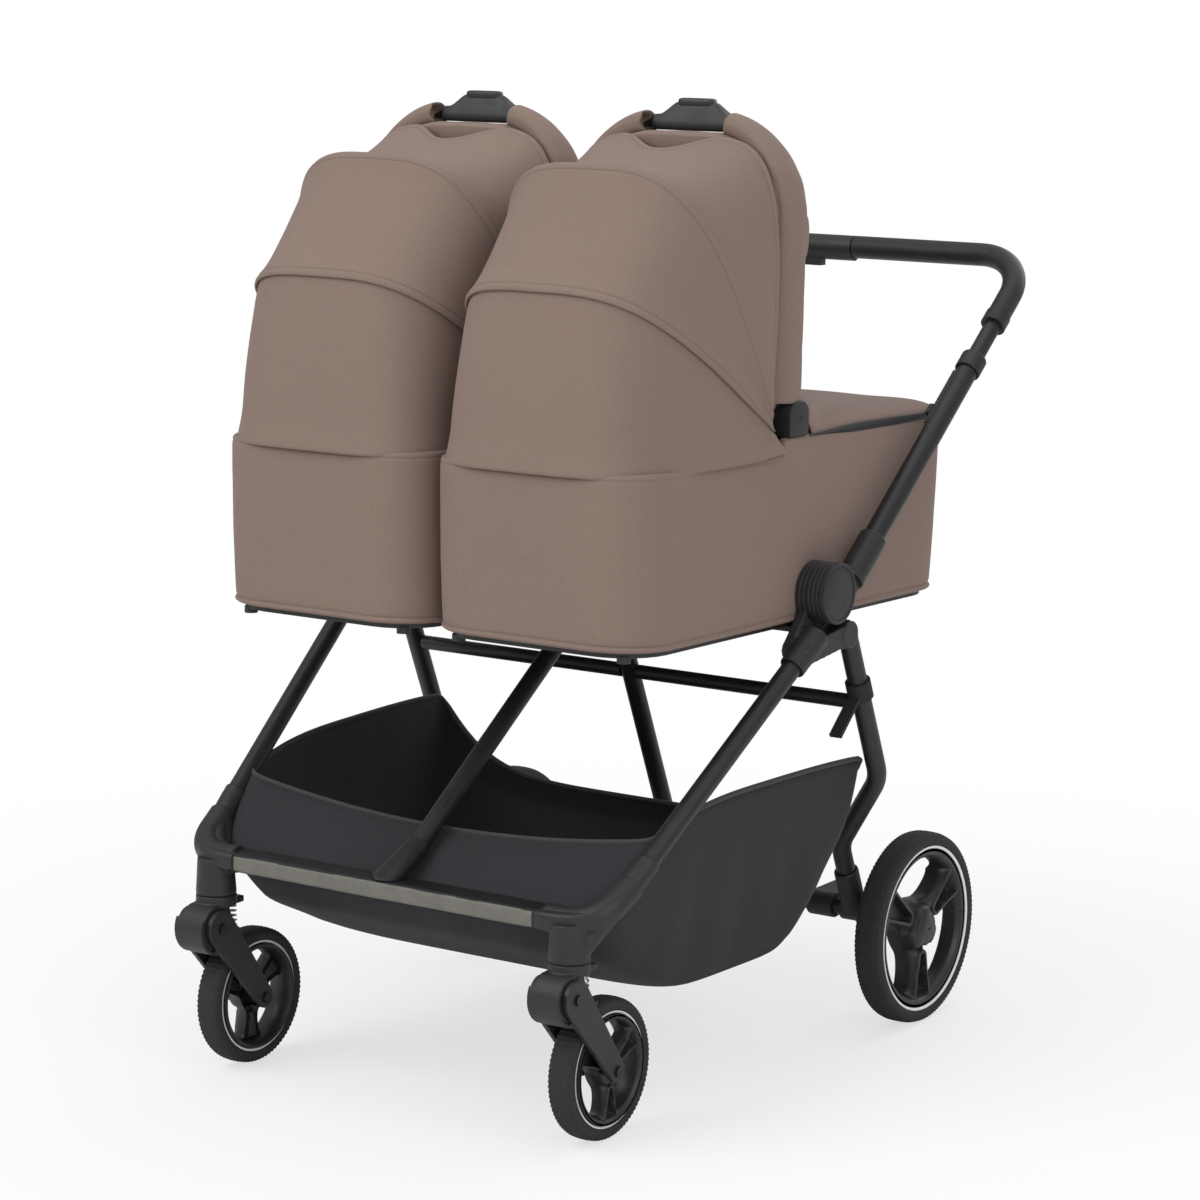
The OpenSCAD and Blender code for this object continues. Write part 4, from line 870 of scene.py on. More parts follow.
class PRAM_OT_hoods(bpy.types.Operator):
    """Hoods of the two carrycots, each one sheet over its bows"""

    bl_idname = "pram.hoods"
    bl_label = "Hoods"

    def execute(self, context):
        s = context.scene.pram_hood
        mats = finishes()
        for side in SIDES:
            obj = piece("hood_cloth_" + side, hood_sheet(side), mats["taupe"], None, 70, mats["lining"])
            keep_apart(obj, side, 2.8)
            thicken(obj, s.cloth, True)
            at_cot(side, (0, -427, 229))
            at_cot(side, (0, -123, 533))
            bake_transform(obj)
            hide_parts("hood_" + side)
            visor = piece("visor_pad_" + side, visor_pad(side), mats["taupe"], "bow_" + side)
            keep_apart(visor, side)
        return {"FINISHED"}


def sleeve_half(side, hand):
    """Half of the padded sleeve from the hinge block to the grip, puffed between its two seams."""
    s = bpy.context.scene.pram_hood
    around, rows, mouth_rows = 48, 96, 5
    low = 21.0
    width, pad = s.sleeve_width / MM / 2, s.sleeve_pad / MM / 2

    def place(i, j):
        f = min(1.0, j / (rows - mouth_rows))
        run = low + (BOW_RUN + 2 - low) * f
        q, u = bow_at(run)
        out = u.cross(Vector((0, 1, 0))).normalized() * -1
        along = Vector((0, 1, 0)) - u * u.y
        a = 2 * math.pi * i / around
        # Fuller beside the grip, drawn in over the hinge block
        full = 1 - 0.2 * math.exp(-f / 0.03) + 0.16 * blend_in(f, 0.78, 0.97)
        w = width * soft_power(math.cos(a), 0.86) * (1 - 0.28 * blend_in(f, 0.75, 1.0))
        t = full * pad * soft_power(math.sin(a), 0.86)
        # The front edge is drawn in under the hood, seams run along both edges, creases cross the bend
        seam = math.exp(-((a - 2.72) / 0.06) ** 2) + math.exp(-((a - 0.42) / 0.06) ** 2)
        bend = math.exp(-((f - 0.66) / 0.14) ** 2)
        puff = 0.9 * wave((q.x + w, q.y, q.z), 55, 2) + 0.5 * bend * math.sin(run / 6.1 + 2 * math.cos(a))
        lift = puff - 1.2 * seam
        inward = 11.0 * max(0.0, -math.cos(a)) ** 1.5 * (1 - blend_in(f, 0.6, 0.8))
        if j > rows - mouth_rows:
            d = j - rows + mouth_rows
            ruffle = 1.6 * math.sin(5 * a + 1.1) * (1 if d == 1 else 0.6)
            shut = (1, 0.9, 0.76, 0.7, 0.64, 0.6)[d]
            w, t, lift = w * shut, t * shut, 0
            q = q + u * (1.0 + ruffle - 4.5 * max(0, d - 1))
        p = q + Vector((0, -17, 0)) + along * w + out * (t - inward)
        p += (along * math.cos(a) + out * math.sin(a)) * lift
        return at_cot(side, (p.x * hand, p.y, p.z))

    return shell(around, rows, place)


class PRAM_OT_sleeves(bpy.types.Operator):
    """Padded sleeves over the carry handles"""

    bl_idname = "pram.sleeves"
    bl_label = "Handle sleeves"

    def execute(self, context):
        mats = finishes()
        for side in SIDES:
            bm = joined([sleeve_half(side, hand) for hand in (-1, 1)])
            bmesh.ops.recalc_face_normals(bm, faces=bm.faces)
            obj = piece("sleeve_pad_" + side, bm, mats["taupe"], "bow_" + side)
            swelled(obj, 3.0, 2.5)
            keep_apart(obj, side)
            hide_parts("handle_sleeve_" + side)
        return {"FINISHED"}


def apron_sheet(side):
    """The apron over the foot end: crowned, with a hemmed front edge and folds that run back from the hinges."""
    s = bpy.context.scene.pram_cot
    half = s.width / MM / 2 - 0.5
    y0, y1 = -12.0, s.back / MM + 17.6
    columns, rows = 72, 84

    def half_width(y):
        d = y - (y1 - 70)
        return half if d <= 0 else half - 70 + math.sqrt(max(0, 70 * 70 - d * d))

    def place(i, j):
        u = 2 * i / columns - 1
        v = j / rows
        y = y0 + (y1 - y0) * (1 - (1 - v) ** 1.15)
        h = 32 + (14 - 32) * (y - y0) / (y1 - y0)
        back = max(0, (y - (y1 - 90)) / 90)
        r = min(1.0, (abs(u) ** 4 + back ** 4) ** 0.25)
        z = h * max(0.0, 1 - r ** 6) ** 0.5
        x = u * half_width(y)
        # Folds from each hinge, a seam along the front edge and a broad slackness
        for hand in (-1, 1):
            px, py = half * hand, -20
            run = math.hypot(x - px, y - py)
            turn = math.atan2((x - px) * -hand, y - py)
            z += 7.5 * math.sin(13 * turn + 0.4) * math.exp(-run / 170) * blend_in(run, 8, 60) * (1 - r ** 18)
        z += 1.6 * wave((x, y, 40), 85, 9) * (1 - r ** 4)
        z -= 1.3 * math.exp(-((y - y0 - 14) / 1.6) ** 2) * (1 - r ** 8)
        if j < 2:
            z -= 2.5 * (2 - j) * (1 - r ** 8)
        return at_cot(side, (x, y, s.rim / MM + 0.6 + z))

    bm = grid(columns, rows, place)
    turn_out(bm, at_cot(side, (0, 170, 100)))
    return bm


def zip_band(side):
    """Zip between the apron and the cot's wall, from hinge to hinge round the back."""
    s = bpy.context.scene.pram_cot
    w = s.width / MM
    outer = (w + 1.2, s.front / MM, s.back / MM + 18.6, FRONT_CORNER, BACK_CORNER + 0.6)
    back_marks = [m for m in plan_marks(*outer, 600) if plan_point(m, *outer)[0][1] > -24]
    halves = [m for m in back_marks if m[0] > 4] + [m for m in back_marks if m[0] < 4]
    count = len(halves) - 1
    profile = [(-1.0, -0.6), (-0.85, 0.5), (-0.3, 0.7), (-0.22, 1.5), (0.22, 1.5), (0.3, 0.7), (0.85, 0.5), (1.0, -0.6)]

    def place(i, j):
        z, out = profile[j]
        (x, y), way = plan_point(halves[i], w, s.front / MM, s.back / MM + 18, FRONT_CORNER, BACK_CORNER)
        tall = 0.8 + 5.0 * blend_in(y, -24, 110) - 1.6 * blend_in(y, 200, 330)
        return at_cot(side, (x + way[0] * out, y + way[1] * out, s.rim / MM - 0.5 + z * tall))

    bm = grid(count, len(profile) - 1, place)
    turn_out(bm, at_cot(side, (0, 170, 248)))
    return bm


class PRAM_OT_aprons(bpy.types.Operator):
    """Aprons over the foot ends, with their zips"""

    bl_idname = "pram.aprons"
    bl_label = "Aprons"

    def execute(self, context):
        mats = finishes()
        for side in SIDES:
            obj = piece("apron_cloth_" + side, apron_sheet(side), mats["taupe"], "cot_" + side, None,
                        mats["lining"])
            thicken(obj, 3 * MM, True)
            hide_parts("apron_" + side)
            tape = piece("apron_zip_" + side, zip_band(side), mats["zip"], "cot_" + side)
            thicken(tape, 0.8 * MM)
        return {"FINISHED"}


def mattress_block(side):
    """The mattress before it swells: a plump slab with round corners."""
    s = bpy.context.scene.pram_cot
    count = 120
    inset = 24
    w, y0, y1 = s.width / MM - 2 * inset, s.front / MM + inset, s.back / MM - inset
    marks = plan_marks(w, y0, y1, 56, 46, count)
    rows = [(0.5, 17), (0.94, 17), (0.99, 20), (1.0, 26), (1.0, 36), (0.99, 44), (0.95, 49), (0.9, 51), (0.78, 52.5),
            (0.6, 53), (0.4, 53.4), (0.2, 53.5), (0.06, 53.6)]
    mid = (y0 + y1) / 2

    def place(i, j):
        share, z = rows[j]
        x, y = plan_point(marks[i % count], w, y0, y1, 56, 46)[0]
        return at_cot(side, (x * share, mid + (y - mid) * share, z))

    return shell(count, len(rows) - 1, place)


class PRAM_OT_mattresses(bpy.types.Operator):
    """Quilted mattresses in the two carrycots"""

    bl_idname = "pram.mattresses"
    bl_label = "Mattresses"

    def execute(self, context):
        mats = finishes()
        for side in SIDES:
            obj = piece("mattress_pad_" + side, mattress_block(side), mats["mattress"], "cot_" + side)
            even_mesh(obj, 6, 3)
            swelled(obj, 4.0, 5)
            # Sewn channels in a lozenge of 64 mm, pressed into the swollen top
            for v in obj.data.vertices:
                if v.normal.z > 0.3:
                    a, b = math.pi * (v.co.x + v.co.y) / MM / 64, math.pi * (v.co.x - v.co.y) / MM / 64
                    sewn = math.exp(-(math.sin(a) / 0.2) ** 2) + math.exp(-(math.sin(b) / 0.2) ** 2)
                    v.co.z -= 2.6 * MM * sewn * blend_in(v.normal.z, 0.3, 0.8)
            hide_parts("mattress_" + side)
        return {"FINISHED"}


# Basket and front bar

# Rings from the rim down: half width in front and behind, y in front and behind, heights at the front corners,
# sides and rear corners, sag of the front and rear edges, squareness of the corners
BASKET_RINGS = (
    (337, 363, 58, 533, 388, 419, 413, 30, 110, 40),
    (318, 340, -36, 546, 300, 292, 300, 0, 36, 14),
    (294, 322, 5, 528, 232, 214, 234, 0, 8, 10),
    (286, 302, 104, 490, 180, 164, 172, 0, 0, 8),
    (272, 284, 165, 456, 152, 147, 147, 0, 0, 6),
    (120, 124, 220, 380, 139, 137, 134, 0, 0, 4),
)


def basket_point(t, angle):
    """A point of the basket's cloth: t counts the rings from the rim down."""
    i = min(len(BASKET_RINGS) - 2, int(t))
    f = t - i
    near = [BASKET_RINGS[max(0, min(len(BASKET_RINGS) - 1, i + k))] for k in (-1, 0, 1, 2)]
    q = []
    for a, b, c, d in zip(*near):
        soft = 0.5 * (2 * b + (c - a) * f + (2 * a - 5 * b + 4 * c - d) * f * f + (3 * b - a - 3 * c + d) * f ** 3)
        q.append(soft * 0.5 + (b + (c - b) * f) * 0.5)
    n = max(3.0, q[9])
    k = (abs(math.cos(angle)) ** n + abs(math.sin(angle)) ** n) ** (-1 / n)
    vx, vy = k * math.cos(angle), k * math.sin(angle)
    w = (q[0] + q[1]) / 2 + (q[1] - q[0]) / 2 * vy
    b = abs(vy) ** 3
    sag = q[7] * (1 - vx * vx) if vy < 0 else q[8] * (1 - abs(vx) ** 5)
    z = q[5] * (1 - b) + (q[4] if vy < 0 else q[6]) * b - sag * b
    return Vector((w * vx, (q[2] + q[3]) / 2 + (q[3] - q[2]) / 2 * vy, z)), (vx, vy)


def basket_sheet():
    """The basket: a cloth trough that sags between the legs in slack folds."""
    s = bpy.context.scene.pram_basket
    fold = s.fold / MM
    columns, rows = 200, 48
    last = len(BASKET_RINGS) - 1

    def place(i, j):
        angle = 2 * math.pi * (i % columns) / columns
        t = last * (j / rows) ** 0.9
        p, (vx, vy) = basket_point(t, angle)
        out = Vector((vx, vy, -0.2)).normalized()
        depth = math.sin(math.pi * min(1, t / 3.6)) if t < 3.6 else 0
        # Slack folds hang from the rim, broader towards the bottom
        hang = 0.55 * math.sin(p.y / 17 + 0.5 * math.sin(p.z / 40)) + 0.8 * wave((p.x * 0.6, p.y, p.z * 0.4), 60, 11)
        if abs(vx) < 0.9:
            hang = 0.5 * math.sin(p.x / 19 + math.sin(p.z / 50)) + 0.8 * wave((p.x, p.y, p.z * 0.4), 70, 13)
        p = p + out * (fold * hang * depth * 0.8)
        return at_frame(p)

    bm = grid(columns, rows, place, True)
    edges = [e for e in bm.edges if e.is_boundary and sum(v.co.z for v in e.verts) / 2 < 0.2]
    bmesh.ops.holes_fill(bm, edges=edges, sides=0)
    turn_out(bm, at_frame((0, 280, 280)))
    return bm


class PRAM_OT_basket(bpy.types.Operator):
    """Cloth basket below the cots, with a piped rim"""

    bl_idname = "pram.basket"
    bl_label = "Basket"

    def execute(self, context):
        s = context.scene.pram_basket
        mats = finishes()
        obj = piece("basket_cloth", basket_sheet(), mats["charcoal"], None)
        thicken(obj, s.cloth)
        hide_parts("basket")
        path = [at_frame(basket_point(0.0, 2 * math.pi * k / 260)[0] + Vector((0, 0, -1.5))) for k in range(260)]
        rim = piece("basket_piping", tube(path, s.piping / 2, 10, True), mats["piping"], None)
        for soft in (obj, rim):
            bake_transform(soft)
        return {"FINISHED"}


# The front bar, behind the front axle and above the floor
BAR_Y, BAR_Z = -61, 301


def bar_pad():
    """The wrapped pad on the front bar: a soft square section with a sewn edge above and below; its front face is a
    grey strip whose paler colour is a painted reflection.
    """
    s = bpy.context.scene.pram_basket
    half = s.bar / MM / 2
    around, rows = 56, 60

    def place(i, j):
        x = -half + 2 * half * j / rows
        a = 2 * math.pi * i / around
        # Nearly square section, 46 deep and 27 high, drawn in at the two sewn edges
        c, v = soft_power(math.cos(a), 0.42), soft_power(math.sin(a), 0.42)
        seam = sum(math.exp(-((a - m) / 0.05) ** 2) for m in (2.42, 3.88))
        end = 1 - 0.08 * abs(x / half) ** 24
        y, z = 22.6 * c * end, 13.2 * v * end
        lift = 0.35 * wave((x, y, z), 38, 4) - 1.0 * seam
        return at_frame((x, BAR_Y + y + math.cos(a) * lift, BAR_Z + z + math.sin(a) * lift))

    bm = shell(around, rows, place)
    front, middle_z = at_frame((0, BAR_Y - 20.5, BAR_Z)).y, BAR_Z * MM
    # The front face between the sewn edges takes the second material: a grey leatherette strip, painted paler as a
    # painted reflection
    for f in bm.faces:
        c = f.calc_center_median()
        if c.y < front and abs(c.z - middle_z) < 11.2 * MM and abs(c.x) < (half - 6) * MM:
            f.material_index = 1
    return bm


ARM_PATH = ((249, BAR_Y, BAR_Z), (264, BAR_Y, BAR_Z), (282, -60.5, 301.5), (301, -56, 303), (317, -43, 309),
            (328, -23, 319.5), (334.5, -2, 333.5), (338.5, 18, 348.5), (341, 38, 363.5))


def corner_arm(hand):
    """The front corner's arm: it leaves the bar as wide as its pad and runs into the round leg."""
    path = smooth_path(ARM_PATH, 6)
    around, rows = 48, len(path) - 1
    up = Vector((0, 0, 1))

    def place(i, j):
        way = (path[min(rows, j + 1)] - path[max(0, j - 1)]).normalized()
        rise = (up - way * up.dot(way)).normalized()
        across = way.cross(rise)
        f = blend_in(j / rows, 0.25, 0.85)
        a = 2 * math.pi * i / around
        e = 0.42 + 0.58 * f
        y, z = (22.8 + (16 - 22.8) * f) * soft_power(math.cos(a), e), (13.4 + 2.6 * f) * soft_power(math.sin(a), e)
        if j < 3:
            y, z = y * 0.97, z * 0.95
        p = path[j] + across * y + rise * z
        return at_frame((p.x * hand, p.y, p.z))

    return shell(around, rows, place)


class PRAM_OT_bar_pad(bpy.types.Operator):
    """Leather-look pad round the front bar, and the corner arms that it runs into"""

    bl_idname = "pram.bar_pad"
    bl_label = "Front bar pad"

    def execute(self, context):
        mats = finishes()
        arms = joined([corner_arm(hand) for hand in (-1, 1)])
        bmesh.ops.recalc_face_normals(arms, faces=arms.faces)
        piece("corner_arms", arms, mats["plastic"], "chassis")
        # The front face takes the grey strip, painted paler as a painted reflection
        obj = piece("bar_pad", bar_pad(), mats["leather"], "chassis", None, mats["bar_leather"])
        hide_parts("front_bar_pad")
        return {"FINISHED"}


# Wheels

# Half of a tyre's section from its bead to its crown, as shares of the width and of the height
TYRE_HALF = ((0.36, 0), (0.43, 0.12), (0.48, 0.34), (0.5, 0.52), (0.48, 0.74), (0.41, 0.89), (0.26, 0.97), (0, 1))


# Pitch of the tread's knurl, in metres
KNURL = 0.0072


def tyre_shape(node, section, steps):
    """A tyre with ribbed shoulders and a knurled crown."""
    s = bpy.context.scene.pram_wheels
    low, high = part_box(node)
    hub = (low + high) / 2
    outer, width = (high.z - low.z) / 2, (high.x - low.x)
    half = smooth_path([(x, r, 0) for x, r in TYRE_HALF], 4)
    line = [(-width * p.x, outer - section + section * p.y) for p in half]
    line += [(-x, r) for x, r in reversed(line[:-1])]
    line = [(line[0][0] * 0.9, line[0][1] - 0.0005)] + line + [(line[-1][0] * 0.9, line[-1][1] - 0.0005)]
    count = len(line)
    teeth = round(2 * math.pi * outer / KNURL)

    def place(i, j):
        x, r = line[i % count]
        a = 2 * math.pi * (j % steps) / steps
        share = (r - outer + section) / section
        knurl = math.sin(teeth * a / 2 + math.pi * x / KNURL) * math.sin(teeth * a / 2 - math.pi * x / KNURL)
        rib = 0.5 + 0.5 * math.sin(teeth * a)
        if share > 0.9:
            r -= s.tread * (0.35 + 0.35 * knurl)
        elif share > 0.5:
            r -= s.tread * 0.75 * rib * blend_in(share, 0.5, 0.66)
        return hub + Vector((x, r * math.cos(a), r * math.sin(a)))

    bm = grid(count, steps, place, True)
    bmesh.ops.recalc_face_normals(bm, faces=bm.faces)
    return bm


def ring_shape(node, section, radius, out):
    """A flat ring let into both sides of a tyre."""
    s = bpy.context.scene.pram_wheels
    low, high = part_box(node)
    hub = (low + high) / 2
    r0 = (high.z - low.z) / 2 - section + radius
    parts = []
    for k in (-1, 1):
        line = [(out - 0.0012, r0 - 0.0004), (out, r0), (out + 0.0004, r0 + s.ring * 0.5), (out, r0 + s.ring),
                (out - 0.0012, r0 + s.ring + 0.0004)]
        bm = turned(hub, [(k * x, r) for x, r in line], 128)
        turn_out(bm, hub)
        parts.append(bm)
    return joined(parts)


# Spoke pattern of a rim in millimetres on the rear wheel, whose rim has a radius of 112.5
RIM_RADIUS = 112.5
SPOKE_TURN = math.pi / 6


def spoke_place(r, a):
    """Distance along and across the nearest spoke."""
    turn = (a - SPOKE_TURN + math.pi / 3) % (2 * math.pi / 3) - math.pi / 3
    return r * math.cos(turn), r * math.sin(turn)


def window_depth(r, a):
    """How far a place lies inside a window between the spokes; negative on a spoke, the hub or the rim."""
    u = spoke_place(r, a)[1]
    half = 17 + 13 * (max(0, r - 28) / 84) ** 2
    k = 0.17
    return -math.log(sum(math.exp(-k * d) for d in (abs(u) - half, r - 37, 100 - r))) / k


def rim_height_at(r, a):
    """Height of the rim's face below its edge: dished rim, spokes with a hairpin rib round a pocket, hub plate."""
    v, u = spoke_place(r, a)
    leg = 9.0 + 0.2 * max(0, v - 44)
    reach = math.hypot(v - 44, u) if v < 44 else abs(u)
    near, inside = abs(reach - leg), reach < leg
    # The spoke falls away on both sides of its rib: steeply into the pocket, softly to the windows
    slope = 2.5 * blend_in(near, 2.2, 3.6) + 9 * (1 - math.exp(-max(0, near - 2.5) / 6))
    spoke = -2 - (15 * blend_in(near, 2.0, 3.8) if inside else slope)
    plate = 25 + 9 * blend_in(abs(u), 5, 22)
    seam = 1.6 * math.exp(-((r - plate) / 1.1) ** 2)
    # The hub plate is domed, and closes over the end of the axle
    dome = -1.5 + 8.5 * (1 - (min(r, plate) / plate) ** 4)
    spoke += (dome - spoke) * (1 - blend_in(r, plate - 1, plate + 3)) - seam
    dish = -18 + 18 * blend_in(r, 92, 107)
    spoke -= 7 * math.exp(window_depth(r, a) / 2.2)
    return max(spoke, dish) if r > 92 else spoke


def rim_shape(node, hand, columns, rows):
    """A rim with three spokes: face with its windows cut out, barrel and hub."""
    low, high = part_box(node)
    hub = (low + high) / 2
    out = (high.x - low.x) / 2
    outer = (high.z - low.z) / 2
    k = outer / (RIM_RADIUS * MM)
    start = 2.0

    def spot(r, a):
        return hub + Vector((hand * (out + rim_height_at(r, a) * k * MM), r * k * MM * math.cos(a),
                             r * k * MM * math.sin(a)))

    def polar(i, j):
        return start + (RIM_RADIUS - start) * j / rows, 2 * math.pi * (i % columns) / columns

    bm = bmesh.new()
    bm.loops.layers.uv.new("UVMap")
    bmesh.ops.create_grid(bm, x_segments=columns, y_segments=rows, size=1.0)
    marks = {v: polar(round((v.co.x + 1) / 2 * columns), round((v.co.y + 1) / 2 * rows)) for v in bm.verts}
    gone = [f for f in bm.faces if sum(window_depth(*marks[v]) for v in f.verts) > 0]
    bmesh.ops.delete(bm, geom=gone, context="FACES")
    # The windows' edges are drawn to their smooth outline
    for v in bm.verts:
        r, a = marks[v]
        if any(e.is_boundary for e in v.link_edges) and start + 3 < r < 108:
            for step in range(5):
                d = window_depth(r, a)
                dr = (window_depth(r + 0.1, a) - window_depth(r - 0.1, a)) / 0.2
                da = (window_depth(r, a + 0.1 / r) - window_depth(r, a - 0.1 / r)) / 0.2
                size = max(0.1, dr * dr + da * da)
                r, a = r - d * dr / size, a - d * da / size / r
        v.co = spot(r, a)
    bmesh.ops.remove_doubles(bm, verts=bm.verts, dist=1e-6)
    turn_out(bm, hub - Vector((hand * 0.2, 0, 0)))
    # The face's back follows it at one depth, joined round the windows
    verts, edges = bm.verts[:], [e for e in bm.edges if e.is_boundary]
    twin = bmesh.ops.duplicate(bm, geom=verts + bm.edges[:] + bm.faces[:])["vert_map"]
    for v in verts:
        twin[v].co = v.co - Vector((hand * 0.02 * k, 0, 0))
    for e in edges:
        a, b = e.verts
        bm.faces.new((a, b, twin[b], twin[a]))
    bmesh.ops.recalc_face_normals(bm, faces=bm.faces)
    edge = [(out, outer), (out, outer - 0.003), (out - 0.002, outer - 0.005), (out - 0.012, outer - 0.0085)]
    flange = edge + [(-x, r) for x, r in reversed(edge)] + edge[:1]
    r = 17 * k * MM
    core = [(hand * (out - 0.014 * k), 0), (hand * (out - 0.014 * k), r), (-hand * out, r * 0.9), (-hand * out, 0)]
    return joined([bm, turned(hub, flange, 144), turned(hub, core, 48)])


class PRAM_OT_wheels(bpy.types.Operator):
    """Treaded tyres with pale reflective rings on three-spoked rims"""

    bl_idname = "pram.wheels"
    bl_label = "Wheels"

    def execute(self, context):
        mats = finishes()
        for side, hand in SIDES.items():
            for end, section, out, steps, columns, rows in (("front", 0.022, 0.0159, 360, 300, 60),
                                                            ("rear", 0.024, 0.0186, 480, 420, 84)):
                tyre, rim, body = end + "_tyre_" + side, end + "_rim_" + side, end + "_wheel_" + side
                obj = piece(end + "_tread_" + side, tyre_shape(tyre, section, steps), mats["rubber"], body)
                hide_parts(tyre)
                piece(end + "_ring_" + side, ring_shape(tyre, section, 0.0015, out), mats["ring"], body)
                spokes = piece(end + "_spokes_" + side, rim_shape(rim, hand, columns, rows), mats["gloss_plastic"],
                               body, 50)
                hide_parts(rim)
        return {"FINISHED"}


# Frame


class PRAM_OT_frame_finish(bpy.types.Operator):
    """Painted, moulded and plated finishes on the frame's solids that show"""

    bl_idname = "pram.frame_finish"
    bl_label = "Frame finishes"

    def execute(self, context):
        mats = finishes()
        sorts = {
            "tube": ["front_legs", "front_bar", "centre_strut_front", "handle_tubes", "handlebar", "rear_legs",
                     "rear_crossbar", "centre_strut_rear", "rear_axle_tube"],
            "plastic": ["cot_adaptors", "release_housing", "fold_trigger"] + ["cot_base_" + side for side in SIDES],
            "leather": ["handle_grips"],
            "strap": ["lock_strap"],
            "bolt": ["caster_bolts_" + side for side in SIDES],
        }
        for sort, names in sorts.items():
            for name in names:
                node = frame["nodes"][name]
                if not node.material_slots:
                    node.data.materials.append(mats[sort])
                for slot in node.material_slots:
                    slot.material = mats[sort]
        return {"FINISHED"}


class PRAM_OT_mouldings(bpy.types.Operator):
    """Castings and mouldings of the frame with rounded edges"""

    bl_idname = "pram.mouldings"
    bl_label = "Mouldings"

    def execute(self, context):
        plastic = finishes()["plastic"]
        for node in ("front_corners", "side_hubs", "handle_sockets", "axle_brackets", "centre_hub", "handle_collars"):
            moulded(node, plastic)
        for node in ("height_buttons", "height_rails", "brake_pedal"):
            moulded(node, plastic, 1.0, 3)
        for side in SIDES:
            moulded("caster_stem_" + side, plastic, 1.2, 5)
            moulded("caster_fork_" + side, plastic, 1.0, 2)
            spring = moulded("caster_spring_" + side, finishes()["spring"], 0)
            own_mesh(spring)
        return {"FINISHED"}


# The folding hubs' distance behind the front axle and height, and their turned shapes: distance from the pram's
# middle and radius. The cap has a raised edge, a groove inside it and a faintly domed middle.
HUB_PLACE = (408, 660)
CAP_LINE = ((386.4, 36), (386.4, 40.6), (387.2, 41.4), (393.6, 41.4), (395.2, 40.8), (396, 39.6), (396, 37.8),
            (395.4, 37), (394.2, 36.6), (394, 35.8), (394.6, 35.2), (395, 33), (395.5, 18), (395.6, 0))
DRUM_BANDS = ((366.5, 372.6), (373.4, 379.4), (380.2, 386.0))
SEAT_BANDS = ((352.2, 358.6), (359.4, 365.9))


def drum_line(bands):
    """Outline of a drum with one rounded rib for each band along its axle."""
    line = [(bands[0][0], 36)]
    for x0, x1 in bands:
        line += [(x0, 39.4), (x0 + 0.3, 40.8), (x0 + 1.2, 41.5), (x1 - 1.2, 41.5), (x1 - 0.3, 40.8), (x1, 39.4)]
    return line + [(bands[-1][1], 36)]


def on_hubs(line):
    """A shape turned on both folding hubs."""
    axle = at_frame((0, *HUB_PLACE))
    return joined([turned(axle, [(hand * x * MM, r * MM) for x, r in line]) for hand in (-1, 1)])


class PRAM_OT_hub_drums(bpy.types.Operator):
    """Ribbed drums of the folding hubs and their plain round caps"""

    bl_idname = "pram.hub_drums"
    bl_label = "Hub drums"

    def execute(self, context):
        plastic = finishes()["plastic"]
        cap = piece("hub_cap_faces", on_hubs(CAP_LINE), plastic, "handle", 35)
        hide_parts("hub_caps")
        piece("hub_drum_ribs", on_hubs(drum_line(DRUM_BANDS)), plastic, "handle", 35)
        piece("hub_seat_ribs", on_hubs(drum_line(SEAT_BANDS)), plastic, "chassis", 35)
        return {"FINISHED"}


def carry_grip(side):
    """The carry handle: bow tube with flat ends at the hinges, and a grip that rises to its button."""
    half, rows, around = 66, 72, 40
    y0, z0 = BOW_HIGH.y, BOW_HIGH.z

    def place(i, j):
        x = -half + 2 * half * j / rows
        a = 2 * math.pi * i / around
        c, v = soft_power(math.cos(a), 0.5), soft_power(math.sin(a), 0.5)
        rise = 9 + 17 * blend_in(60 - abs(x), 0, 33) ** 1.35
        end = 1 - 0.25 * blend_in(abs(x), half - 4, half)
        z = (rise * v if v > 0 else 12 * v) * end
        # The rise stands back from the bar by a ledge, and narrows towards the button
        deep = (15 - 2.2 * blend_in(z, 0.5, 2.2) - 4.5 * max(0.0, v) * blend_in(rise, 9, 26)) * end
        return at_cot(side, (x, y0 + deep * c, z0 + z))

    bar = shell(around, rows, place)
    path = [bow_at(k / 60 * (BOW_RUN + 40))[0] for k in range(61)]
    legs = [tube([at_cot(side, (p.x * hand, p.y, p.z)) for p in path], 6 * MM, 16) for hand in (-1, 1)]
    eyes = []
    for hand in (-1, 1):
        eye = at_cot(side, (hand * BOW_LOW.x, BOW_LOW.y, BOW_LOW.z))
        eyes.append(turned(eye, [(-0.0055, 0.0), (-0.0055, 0.0095), (0.0055, 0.0095), (0.0055, 0.0)], 32))
    return joined([bar] + legs + eyes)


def grip_key(side):
    """The rounded button on top of the grip."""
    rows, around = 24, 32
    y0, z0 = BOW_HIGH.y, BOW_HIGH.z

    def place(i, j):
        f = 2 * j / rows - 1
        a = 2 * math.pi * i / around
        end = (1 - abs(f) ** 8) ** 0.3 if abs(f) < 1 else 0.02
        return at_cot(side, (28 * soft_power(f, 0.8), y0 + 8.5 * soft_power(math.cos(a), 0.5) * end,
                             z0 + 25 + 6.2 * soft_power(math.sin(a), 0.5) * end))

    return shell(around, rows, place)


class PRAM_OT_grips(bpy.types.Operator):
    """Carry handles with their moulded grips and buttons"""

    bl_idname = "pram.grips"
    bl_label = "Carry grips"

    def execute(self, context):
        mats = finishes()
        for side in SIDES:
            obj = piece("carry_grip_" + side, carry_grip(side), mats["plastic"], "bow_" + side, 45)
            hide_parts("carry_handle_" + side)
            key = piece("grip_key_" + side, grip_key(side), mats["gloss_plastic"], "grip_button_" + side)
            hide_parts("grip_button_" + side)
        return {"FINISHED"}


